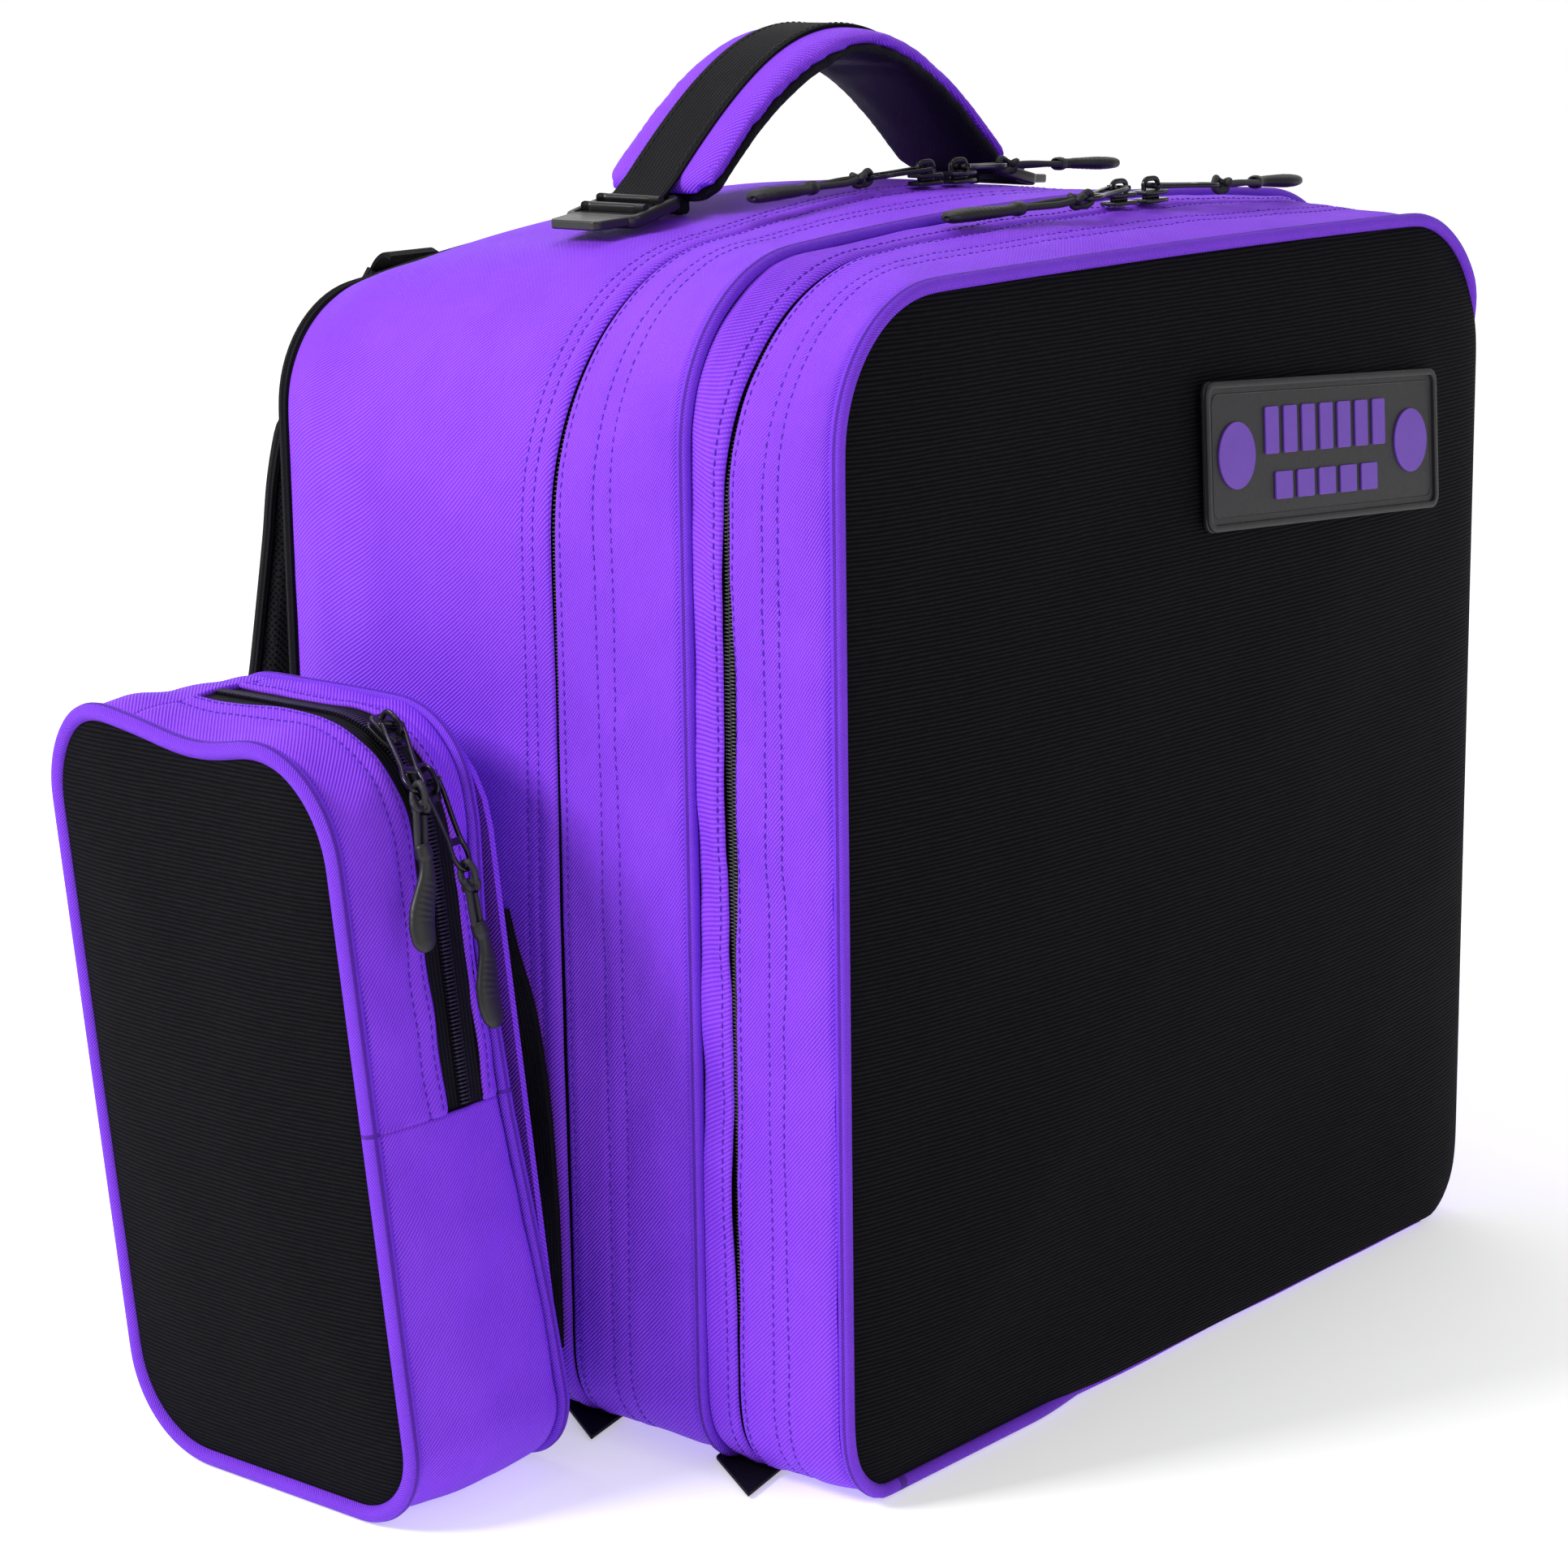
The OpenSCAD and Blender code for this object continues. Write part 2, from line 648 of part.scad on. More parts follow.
// Each pull on the top: place across the bag, depth, side that it points to, yaw and bend
front_left = [18, front_zip_y, 180, 14, -24];
front_right = [38, front_zip_y, 0, -14, 22];
main_left = [6, main_zip_y, 180, -4, 6];
main_right = [26, main_zip_y, 0, 6, -10];
pull_lift = 1.5;
top_droop = 2.5;
cord_run = 28;

module on_top(p) {
    at_bag() translate([p[0], p[1], surface_z(p[0], p[1]) + pull_lift]) rotate([0, 0, p[2]]) children();
}

module slider_on_top(p) { color(steel_black) on_top(p) slider(); }

module tab_on_top(p) { color(steel_black) on_top(p) hinged(p[3], top_droop) tab(); }

module grip_on_top(p) {
    color(black) on_top(p) hinged(p[3], top_droop) at_eye(p[4], 0) grip(cord_run);
}

module front_left_slider() { slider_on_top(front_left); }

module front_left_tab() { tab_on_top(front_left); }

module front_left_grip() { grip_on_top(front_left); }

module front_right_slider() { slider_on_top(front_right); }

module front_right_tab() { tab_on_top(front_right); }

module front_right_grip() { grip_on_top(front_right); }

module main_left_slider() { slider_on_top(main_left); }

module main_left_tab() { tab_on_top(main_left); }

module main_left_grip() { grip_on_top(main_left); }

module main_right_slider() { slider_on_top(main_right); }

module main_right_tab() { tab_on_top(main_right); }

module main_right_grip() { grip_on_top(main_right); }

// The pocket's sliders ride round its upper front corner, whose middle is bend_at. Each has an
// angle round the corner, and its pull hangs down the front.
bend_r = pocket_radii[3];
bend_at = let (half = (90 + atan(pocket_lean / pocket_h)) / 2)
    [pocket_corner(3, 0)[0] + bend_r / tan(half), pocket_top - bend_r];
slider_r = bend_r + tape_lift + pocket_tape_t + 0.8;
pocket_upper = [122, -22, 5, 4, 36];
pocket_lower = [148, 2, 5, -6, 10];
pocket_cord_run = 14;

module on_bend(p) {
    at_bag() translate([pocket_zip_x, bend_at[0] + slider_r * cos(p[0]), bend_at[1] + slider_r * sin(p[0])])
        rotate([0, 0, -90]) rotate([0, p[0] - 90, 0]) children();
}

module pocket_top_slider() { color(steel_black) on_bend(pocket_upper) slider(); }

module pocket_top_tab() {
    color(steel_black) on_bend(pocket_upper) hinged(pocket_upper[1], pocket_upper[2]) tab();
}

module pocket_top_grip() {
    color(black) on_bend(pocket_upper) hinged(pocket_upper[1], pocket_upper[2])
        at_eye(pocket_upper[3], pocket_upper[4]) grip(pocket_cord_run);
}

module pocket_front_slider() { color(steel_black) on_bend(pocket_lower) slider(); }

module pocket_front_tab() {
    color(steel_black) on_bend(pocket_lower) hinged(pocket_lower[1], pocket_lower[2]) tab();
}

module pocket_front_grip() {
    color(black) on_bend(pocket_lower) hinged(pocket_lower[1], pocket_lower[2])
        at_eye(pocket_lower[3], pocket_lower[4]) grip(pocket_cord_run);
}

front_panel();
front_stiffener();
emblem_patch();
emblem_motif();
front_piping();
front_gusset();
front_zip_cover_tape();
front_zip_body_tape();
mid_gusset_front();
mid_piping();
divider_panel();
mid_gusset_rear();
main_zip_front_tape();
main_zip_rear_tape();
rear_gusset();
base_panel();
back_panel();
back_binding();
strap_yoke();
pocket_outer_panel();
pocket_flap();
pocket_outer_piping();
pocket_gusset();
pocket_inner_piping();
pocket_back_panel();
pocket_zip();
pocket_mounts();
side_webbing();
base_tabs();
handle_pad();
handle_webbing();
handle_buckles();
handle_anchors();
strap_base_tabs();
left_strap_pad();
left_strap_webbing();
left_strap_adjuster();
left_strap_tail();
right_strap_pad();
right_strap_webbing();
right_strap_adjuster();
right_strap_tail();
front_left_slider();
front_left_tab();
front_left_grip();
front_right_slider();
front_right_tab();
front_right_grip();
main_left_slider();
main_left_tab();
main_left_grip();
main_right_slider();
main_right_tab();
main_right_grip();
pocket_top_slider();
pocket_top_tab();
pocket_top_grip();
pocket_front_slider();
pocket_front_tab();
pocket_front_grip();
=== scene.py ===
"""Looks of the boxy backpack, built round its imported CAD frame. Lengths are in mm unless named."""

import math

import bpy
import numpy as np
from mathutils import Matrix, Vector, noise


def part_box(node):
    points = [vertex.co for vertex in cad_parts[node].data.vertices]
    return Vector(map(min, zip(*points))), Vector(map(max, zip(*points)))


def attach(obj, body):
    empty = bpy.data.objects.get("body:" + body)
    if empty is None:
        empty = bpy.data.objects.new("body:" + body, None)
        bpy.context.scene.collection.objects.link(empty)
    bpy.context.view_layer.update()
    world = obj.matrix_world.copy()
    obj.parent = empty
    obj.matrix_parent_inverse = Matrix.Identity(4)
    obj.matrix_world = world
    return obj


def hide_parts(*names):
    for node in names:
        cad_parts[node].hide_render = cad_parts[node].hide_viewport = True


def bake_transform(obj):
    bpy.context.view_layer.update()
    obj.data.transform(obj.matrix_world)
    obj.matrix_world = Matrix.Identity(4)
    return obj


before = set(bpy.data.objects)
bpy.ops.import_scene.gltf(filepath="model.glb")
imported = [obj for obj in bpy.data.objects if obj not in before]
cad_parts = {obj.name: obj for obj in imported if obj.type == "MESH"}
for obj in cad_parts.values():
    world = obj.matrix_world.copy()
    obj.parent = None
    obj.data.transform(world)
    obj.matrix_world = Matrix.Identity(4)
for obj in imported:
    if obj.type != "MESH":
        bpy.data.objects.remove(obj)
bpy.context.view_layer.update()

MM = 0.001

# ---------------------------------------------------------------- places taken from the frame

low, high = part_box("front_piping")
MID_X, SEAM_Y = (low.x + high.x) / 2, (low.y + high.y) / 2


def frame_m(points):
    """Points in millimetres from the middle of the front seam at floor level, as frame metres."""
    return np.asarray(points, float) * MM + np.array([MID_X, SEAM_Y, 0.0])


def local_box(node):
    """A CAD node's box in millimetres, in the bag's own coordinates."""
    a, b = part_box(node)
    shift = np.array([MID_X, SEAM_Y, 0.0])
    return (np.array(a) - shift) / MM, (np.array(b) - shift) / MM


SHIFT = Matrix.Translation(Vector((MID_X, SEAM_Y, 0))) @ Matrix.Scale(MM, 4)

# ---------------------------------------------------------------- sizes, in millimetres

DEPTH = 262.0
ZIP_1, DIVIDER, ZIP_2 = 44.0, 62.0, 123.0
PIPING = 2.6
FOOT_R = 26.0
WEBBING = 25.0
STRAP_THICK = 1.6
CLOTH = 1.8
INSIDE = (0, 130, 180)
EDGE = PIPING + 0.3
FLOOR = 0.3
HANDLE_Y = 172.0

POCKET_Y, POCKET_Z, POCKET_LEN, POCKET_H = 97.0, 1.3, 139.0, 264.0
POCKET_LEAN = 34.0
POCKET_IN = -226.0
POCKET_DEPTH = 75.0
POCKET_OUT = POCKET_IN - POCKET_DEPTH
POCKET_TOP = POCKET_Z + POCKET_H
POCKET_RADII = (26.0, 38.0, 30.0, 46.0)
ZIP_X = POCKET_OUT + 42.0
ZIP_LOW_Z = 137.0
ZIP_BACK = 42.0
TAPE_HALF = 12.5


# ---------------------------------------------------------------- camera

VIEW_AZIMUTH = -49.8


def make_camera():
    azimuth, elevation, roll = (math.radians(a) for a in (VIEW_AZIMUTH, 12.9, -0.8))
    distance = 1.490
    back = Vector((math.sin(azimuth) * math.cos(elevation), -math.cos(azimuth) * math.cos(elevation),
                   math.sin(elevation)))
    side = (-back).cross(Vector((0, 0, 1))).normalized()
    up = side.cross(-back)
    right = side * math.cos(roll) + up * math.sin(roll)
    top = up * math.cos(roll) - side * math.sin(roll)
    target = Vector(frame_m((-33, 163, 200)))
    data = bpy.data.cameras.new("camera")
    data.sensor_width, data.lens = 36.0, 89.25
    data.clip_start, data.clip_end = 0.05, 30
    camera = bpy.data.objects.new("camera", data)
    bpy.context.scene.collection.objects.link(camera)
    turn = Matrix((right, top, back)).transposed().to_4x4()
    camera.matrix_world = Matrix.Translation(target + back * distance) @ turn
    bpy.context.scene.camera = camera


make_camera()

# ---------------------------------------------------------------- materials


class Shader:
    """A Principled material with a small kit for building its textures."""

    def __init__(self, name, **constants):
        self.material = bpy.data.materials.new(name)
        self.material.use_nodes = True
        self.tree = self.material.node_tree
        self.main = self.tree.nodes["Principled BSDF"]
        for socket, value in constants.items():
            self.main.inputs[socket.replace("_", " ")].default_value = value

    def node(self, kind, **settings):
        made = self.tree.nodes.new("ShaderNode" + kind)
        for key, value in settings.items():
            if hasattr(made, key):
                setattr(made, key, value)
            else:
                self.link(value, made.inputs[key.replace("_", " ")])
        return made

    def link(self, value, socket):
        if isinstance(value, bpy.types.NodeSocket):
            self.tree.links.new(value, socket)
        else:
            socket.default_value = value

    def math(self, operation, a, b=0.0, c=0.0):
        made = self.node("Math", operation=operation)
        for value, socket in zip((a, b, c), made.inputs):
            self.link(value, socket)
        return made.outputs[0]

    def mix(self, share, a, b):
        made = self.node("Mix", data_type="RGBA")
        for value, socket in zip((share, a, b), (made.inputs[0], made.inputs[6], made.inputs[7])):
            self.link(value, socket)
        return made.outputs[2]

    def coords(self, kind="UV", scale=(1, 1, 1), turn=0.0):
        place = self.node("TexCoord").outputs[kind]
        made = self.node("Mapping")
        self.link(place, made.inputs["Vector"])
        made.inputs["Scale"].default_value = scale
        made.inputs["Rotation"].default_value = (0, 0, turn)
        return made.outputs[0]

    def split(self, vector):
        made = self.node("SeparateXYZ")
        self.link(vector, made.inputs[0])
        return made.outputs

    def noise(self, vector, scale, detail=2.0, rough=0.5):
        made = self.node("TexNoise")
        for value, name in ((vector, "Vector"), (scale, "Scale"), (detail, "Detail"), (rough, "Roughness")):
            self.link(value, made.inputs[name])
        return made.outputs["Fac"]

    def ramp(self, value, stops):
        made = self.node("ValToRGB")
        self.link(value, made.inputs[0])
        band = made.color_ramp
        while len(band.elements) < len(stops):
            band.elements.new(0.5)
        for element, (place, shade) in zip(band.elements, stops):
            element.position = place
            element.color = (shade, shade, shade, 1) if isinstance(shade, float) else (*shade, 1)
        return made.outputs[0]

    def colour(self, value):
        self.link(value, self.main.inputs["Base Color"])

    def rough(self, value):
        self.link(value, self.main.inputs["Roughness"])

    def bump(self, height, distance, strength=1.0):
        made = self.node("Bump")
        made.inputs["Distance"].default_value = distance
        made.inputs["Strength"].default_value = strength
        self.link(height, made.inputs["Height"])
        self.link(made.outputs[0], self.main.inputs["Normal"])

    def wave(self, value):
        """0 to 1 and back for each whole step of value."""
        turned = self.math("MULTIPLY", value, math.tau)
        return self.math("MULTIPLY_ADD", self.math("SINE", turned), 0.5, 0.5)


def rgb(*parts):
    return (*parts, 1.0)


def twill(name, light, dark, pitch=1.6):
    """Woven cloth with a diagonal rib. Its UVs are in millimetres."""
    s = Shader(name, Specular_IOR_Level=0.16)
    u, v, _ = s.split(s.coords(scale=(1 / pitch, 1 / pitch, 1)))
    diagonal = s.wave(s.math("ADD", u, v))
    picks = s.wave(s.math("SUBTRACT", u, v))
    cell = s.math("MULTIPLY_ADD", picks, 0.35, 0.65)
    yarn = s.math("MULTIPLY", diagonal, cell)
    broad = s.noise(s.coords("Object"), 38.0, 3.0)
    slubs = s.noise(s.coords(scale=(0.12, 0.9, 1)), 1.0, 2.0)
    tone = s.math("MULTIPLY_ADD", broad, 0.35, -0.17)
    fine = s.math("MULTIPLY_ADD", slubs, 0.22, -0.11)
    share = s.math("ADD", s.math("ADD", s.math("MULTIPLY_ADD", yarn, 0.9, 0.22), tone), fine)
    s.colour(s.mix(share, rgb(*dark), rgb(*light)))
    s.rough(s.math("MULTIPLY_ADD", yarn, -0.14, 0.66))
    s.bump(yarn, 0.0004, 0.8)
    return s.material


def ribbed(name, light, dark, pitch=1.5):
    """Black cloth with fine level ribs. Its UVs are in millimetres."""
    s = Shader(name, Specular_IOR_Level=0.06)
    u, v, _ = s.split(s.coords())
    wander = s.noise(s.coords(scale=(0.03, 0.2, 1)), 1.0, 2.0)
    level = s.math("ADD", s.math("DIVIDE", v, pitch), s.math("MULTIPLY", wander, 0.9))
    rib = s.wave(level)
    yarns = s.wave(s.math("DIVIDE", u, 0.9))
    broken = s.noise(s.coords(scale=(0.18, 0.9, 1)), 1.0, 3.0, 0.65)
    height = s.math("MULTIPLY", rib, s.math("MULTIPLY_ADD", yarns, 0.3, 0.7))
    lint = s.math("GREATER_THAN", s.noise(s.coords(scale=(1.1, 1.1, 1)), 1.0, 1.0), 0.76)
    share = s.math("MULTIPLY", height, s.math("MULTIPLY", broken, 1.3))
    share = s.math("ADD", share, s.math("MULTIPLY", lint, 0.2))
    s.colour(s.mix(share, rgb(*dark), rgb(*light)))
    s.rough(s.math("MULTIPLY_ADD", height, -0.1, 0.85))
    s.bump(height, 0.00035, 0.7)
    return s.material


def webbing(name, light=(0.014, 0.012, 0.016), dark=(0.002, 0.002, 0.0025)):
    """Narrow woven strap: V runs along it and U across it, in millimetres."""
    s = Shader(name, Specular_IOR_Level=0.12)
    u, v, _ = s.split(s.coords())
    cords = s.wave(s.math("DIVIDE", u, 1.6))
    shifted = s.math("MULTIPLY", s.math("FLOOR", s.math("DIVIDE", u, 1.6)), 0.5)
    picks = s.wave(s.math("ADD", s.math("DIVIDE", v, 1.3), shifted))
    height = s.math("MULTIPLY", cords, s.math("MULTIPLY_ADD", picks, 0.5, 0.5))
    worn = s.noise(s.coords("Object"), 60.0, 3.0)
    s.colour(s.mix(s.math("MULTIPLY", height, s.math("ADD", worn, 0.35)), rgb(*dark), rgb(*light)))
    s.rough(s.math("MULTIPLY_ADD", height, -0.12, 0.72))
    s.bump(height, 0.0004, 0.7)
    return s.material


def spacer_mesh(name):
    """Black knit with small open cells. Its UVs are in millimetres."""
    s = Shader(name, Specular_IOR_Level=0.1)
    u, v, _ = s.split(s.coords(scale=(1 / 2.6, 1 / 2.6, 1)))
    a, b = s.wave(s.math("ADD", u, v)), s.wave(s.math("SUBTRACT", u, v))
    cell = s.math("MULTIPLY", a, b)
    s.colour(s.mix(cell, rgb(0.020, 0.020, 0.022), rgb(0.004, 0.004, 0.005)))
    s.rough(s.math("MULTIPLY_ADD", cell, 0.15, 0.75))
    s.bump(s.math("SUBTRACT", 1.0, cell), 0.0006, 0.8)
    return s.material


def thread(name, light, dark):
    s = Shader(name, Specular_IOR_Level=0.2)
    strand = s.noise(s.coords("Object"), 2200.0, 1.0)
    s.colour(s.mix(strand, rgb(*dark), rgb(*light)))
    s.rough(s.math("MULTIPLY_ADD", strand, 0.2, 0.5))
    return s.material


def hard(name, base, worn, rough, metallic=0.0, coat=0.0, grain=900.0, bump=0.00005):
    """Moulded plastic, rubber or lacquered metal with a fine grain and lighter worn edges."""
    s = Shader(name, Metallic=metallic, Coat_Weight=coat, Coat_Roughness=0.15)
    fine = s.noise(s.coords("Object"), grain, 2.0)
    broad = s.noise(s.coords("Object"), 90.0, 3.0)
    edge = s.ramp(s.node("NewGeometry").outputs["Pointiness"], [(0.50, 0.0), (0.60, 1.0)])
    share = s.math("MULTIPLY", edge, s.math("MULTIPLY_ADD", broad, 0.9, 0.1))
    s.colour(s.mix(share, rgb(*base), rgb(*worn)))
    s.rough(s.math("MULTIPLY_ADD", fine, 0.16, rough - 0.08))
    s.bump(fine, bump, 0.5)
    return s.material


PURPLE, PURPLE_DARK = (0.330, 0.078, 0.980), (0.130, 0.018, 0.580)
M = {
    "purple": twill("purple_twill", PURPLE, PURPLE_DARK),
    "trim": twill("purple_trim", (0.250, 0.055, 0.900), (0.120, 0.022, 0.520), pitch=1.1),
    "ribbed": ribbed("ribbed_black", (0.0120, 0.0112, 0.0160), (0.0015, 0.0015, 0.0022)),
    "lining": twill("black_lining", (0.0080, 0.0078, 0.0095), (0.0020, 0.0020, 0.0026), pitch=1.0),
    "webbing": webbing("black_webbing"),
    "tape": webbing("zip_tape", (0.010, 0.010, 0.012), (0.002, 0.002, 0.0025)),
    "mesh": spacer_mesh("spacer_mesh"),
    "thread": thread("purple_thread", (0.115, 0.026, 0.52), (0.055, 0.010, 0.29)),
    "black_thread": thread("black_thread", (0.030, 0.030, 0.034), (0.012, 0.012, 0.014)),
    "coil": hard("zip_coil", (0.010, 0.010, 0.011), (0.060, 0.060, 0.065), 0.38),
    "cord": hard("cord_braid", (0.008, 0.008, 0.009), (0.030, 0.030, 0.032), 0.60, grain=1600.0, bump=0.0003),
    "metal": hard("black_metal", (0.010, 0.010, 0.012), (0.060, 0.060, 0.064), 0.26, metallic=0.5, coat=0.3),
    "rubber": hard("grip_rubber", (0.0070, 0.0070, 0.0078), (0.014, 0.014, 0.015), 0.50),
    "plastic": hard("buckle_plastic", (0.006, 0.006, 0.007), (0.040, 0.040, 0.044), 0.34),
    "patch": hard("patch_rubber", (0.0065, 0.0060, 0.0080), (0.015, 0.0135, 0.018), 0.46, grain=500.0,
                  bump=0.0001),
    "patch_motif": hard("patch_purple", (0.120, 0.030, 0.400), (0.200, 0.070, 0.560), 0.42),
    "foam": hard("stiffener_board", (0.030, 0.030, 0.032), (0.050, 0.050, 0.052), 0.85),
}

# ---------------------------------------------------------------- meshes


def added(name, data):
    obj = bpy.data.objects.new(name, data)
    bpy.context.scene.collection.objects.link(obj)
    return obj


def as_piece(obj, slot, follow, *nodes):
    """Hides the CAD nodes a piece stands for, then hangs it on the named body or hands it to the given
    function. The slot, its finish, is not used.
    """
    if nodes:
        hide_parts(*nodes)
    if callable(follow):
        follow(obj)
    else:
        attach(obj, follow)


def coords_of(mesh):
    flat = np.zeros(len(mesh.vertices) * 3, np.float32)
    mesh.vertices.foreach_get("co", flat)
    return flat.reshape(-1, 3)


def run_length(points):
    """Distance along a line to each of its points."""
    return np.concatenate([[0], np.cumsum(np.linalg.norm(np.diff(points, axis=0), axis=1))])


def sampled(at, length, points):
    """Points at the given distances along a line."""
    return np.stack([np.interp(at, length, points[:, k]) for k in range(points.shape[1])], 1)


def new_object(name, points, faces, material, uv=None):
    """A mesh from points in bag millimetres; uv holds one pair for each point."""
    mesh = bpy.data.meshes.new(name)
    mesh.from_pydata(frame_m(points).tolist(), [], [tuple(int(i) for i in f) for f in faces])
    mesh.polygons.foreach_set("use_smooth", [True] * len(mesh.polygons))
    if uv is not None:
        layer = mesh.uv_layers.new(name="UVMap")
        index = np.zeros(len(mesh.loops), np.int32)
        mesh.loops.foreach_get("vertex_index", index)
        layer.data.foreach_set("uv", np.asarray(uv, np.float32)[index].ravel())
    mesh.materials.append(material)
    return added(name, mesh)


def grid_faces(rows, columns, wrap_rows=False, wrap_columns=False, start=0):
    faces = []
    for i in range(rows if wrap_rows else rows - 1):
        k = (i + 1) % rows
        for j in range(columns if wrap_columns else columns - 1):
            l = (j + 1) % columns
            faces.append((start + i * columns + j, start + k * columns + j,
                          start + k * columns + l, start + i * columns + l))
    return faces


def settle(obj):
    """Applies the modifiers, so that the mesh is final."""
    view = bpy.context.evaluated_depsgraph_get()
    final = obj.evaluated_get(view)
    mesh = bpy.data.meshes.new_from_object(final, preserve_all_data_layers=True, depsgraph=view)
    obj.modifiers.clear()
    obj.data = mesh
    return obj


def thicken(obj, amount, offset=-1.0):
    made = obj.modifiers.new("thick", "SOLIDIFY")
    made.thickness, made.offset = amount * MM, offset
    return settle(obj)


def bevel(obj, width, segments=3):
    made = obj.modifiers.new("bevel", "BEVEL")
    made.width, made.segments, made.limit_method = width * MM, segments, "ANGLE"
    made.harden_normals = True
    return settle(obj)


def sheet_grid(name, points, material, uv, inward=None, thick=0.0):
    """A grid of points, rows by columns, turned to face away from the point inward."""
    rows, columns = points.shape[:2]
    faces = grid_faces(rows, columns)
    flat = points.reshape(-1, 3)
    if inward is not None:
        quads = flat[np.array(faces)]
        normal = np.cross(quads[:, 1] - quads[:, 0], quads[:, 2] - quads[:, 0])
        if (normal * (quads.mean(1) - np.asarray(inward, float))).sum() < 0:
            faces = [f[::-1] for f in faces]
    obj = new_object(name, flat, faces, material, uv.reshape(-1, 2))
    return thicken(obj, thick) if thick else obj


def unit(v):
    v = np.asarray(v, float)
    return v / np.maximum(np.linalg.norm(v, axis=-1, keepdims=True), 1e-12)


def frames_along(path, up, closed=False):
    """Directions across and out of a path, from its own direction and a rough up."""
    path = np.asarray(path, float)
    if closed:
        along = np.roll(path, -1, 0) - np.roll(path, 1, 0)
    else:
        along = np.gradient(path, axis=0)
    along = unit(along)
    across = unit(np.cross(along, np.broadcast_to(np.asarray(up, float), along.shape)))
    return along, across, np.cross(across, along)


def swept(name, path, profile, up, material, closed=False):
    """A closed profile, one (across, out) pair for each point, carried along a path."""
    path = np.asarray(path, float)
    _, across, out = frames_along(path, up, closed)
    n = len(path)
    sections = [np.asarray(profile(i / max(n - 1, 1)), float) for i in range(n)]
    m = len(sections[0])
    points = np.array([path[i] + np.outer(sections[i][:, 0], across[i]) + np.outer(sections[i][:, 1], out[i])
                       for i in range(n)])
    length = run_length(path)
    edge = np.linalg.norm(np.diff(sections[n // 2], axis=0, append=sections[n // 2][:1]), axis=1)
    around = np.concatenate([[0], np.cumsum(edge)[:-1]])
    uv = np.stack(np.meshgrid(around, length), -1).reshape(-1, 2)
    faces = grid_faces(n, m, wrap_rows=closed, wrap_columns=True)
    faces = [f[::-1] for f in faces]
    if not closed:
        faces += [tuple(range(m)), tuple(range((n - 1) * m + m - 1, (n - 1) * m - 1, -1))]
    return new_object(name, points.reshape(-1, 3), faces, material, uv)


def circle(r, n=12):
    a = np.arange(n) * math.tau / n
    return np.stack([r * np.cos(a), r * np.sin(a)], 1)


def strap_section(width, thick, n=14, edge=0.5):
    """Flat webbing with rounded edges, as (across, out) pairs."""
    half, r = width / 2, thick / 2
    a = np.linspace(-90, 90, 5) * math.pi / 180
    right = np.stack([half - r * edge + r * edge * np.cos(a), r * np.sin(a)], 1)
    xs = np.linspace(half - r, -half + r, n)[1:-1]
    top = np.stack([xs, np.full(len(xs), r)], 1)
    return np.concatenate([right, top, -right, -top])


def smooth_curve(points, n):
    """Even points along a smooth curve through the given ones (Catmull-Rom)."""
    p = np.asarray(points, float)
    padded = np.concatenate([[2 * p[0] - p[1]], p, [2 * p[-1] - p[-2]]])
    fine = []
    for i in range(1, len(padded) - 2):
        a, b, c, d = padded[i - 1:i + 3]
        for t in np.linspace(0, 1, 24, endpoint=False):
            fine.append(0.5 * (2 * b + (c - a) * t + (2 * a - 5 * b + 4 * c - d) * t ** 2
                               + (3 * b - a - 3 * c + d) * t ** 3))
    fine = np.array(fine + [p[-1]])
    length = run_length(fine)
    return sampled(np.linspace(0, length[-1], n), length, fine)


def joined(name, parts):
    """Several objects made into one mesh."""
    bpy.ops.object.select_all(action="DESELECT")
    for o in parts:
        o.select_set(True)
    bpy.context.view_layer.objects.active = parts[0]
    if len(parts) > 1:
        bpy.ops.object.join()
    parts[0].name = name
    return parts[0]


def stitches(name, lines, material, length=2.5, pitch=3.4, r=0.36, sides=5):
    """Rows of sewn stitches: each line is points on the cloth with the cloth's outward direction."""
    rings = np.array([-0.5, -0.28, 0.28, 0.5]) * length
    sizes = (0.35, 1.0, 1.0, 0.35)
    a = np.arange(sides) * math.tau / sides
    points, faces = [], []
    for path, normal in lines:
        along = run_length(path)
        for s in np.arange(pitch / 2, along[-1] - pitch / 2, pitch):
            c, e = ([np.interp(s + d, along, path[:, k]) for k in range(3)] for d in (0, 0.5))
            n = unit([np.interp(s, along, normal[:, k]) for k in range(3)])
            t = unit(np.array(e) - c)
            b = np.cross(n, t)
            base = len(points)
            for z, size in zip(rings, sizes):
                sink = -0.30 if size < 1 else 0.0
                for angle in a:
                    points.append(c + t * z + b * (r * size * math.cos(angle))
                                  + n * (r * size * math.sin(angle) * 0.8 + sink))
            faces += grid_faces(len(rings), sides, wrap_columns=True, start=base)
            faces += [tuple(base + sides - 1 - i for i in range(sides)),
                      tuple(base + 3 * sides + i for i in range(sides))]
    points = np.array(points)
    return new_object(name, points, faces, material)


def moved(obj, place):
    """Takes an object drawn about the origin in millimetres to a place in the bag."""
    obj.data.transform(SHIFT @ place @ SHIFT.inverted())
    return obj


def turned(x=0.0, y=0.0, z=0.0):
    return (Matrix.Rotation(math.radians(z), 4, "Z") @ Matrix.Rotation(math.radians(y), 4, "Y")
            @ Matrix.Rotation(math.radians(x), 4, "X"))


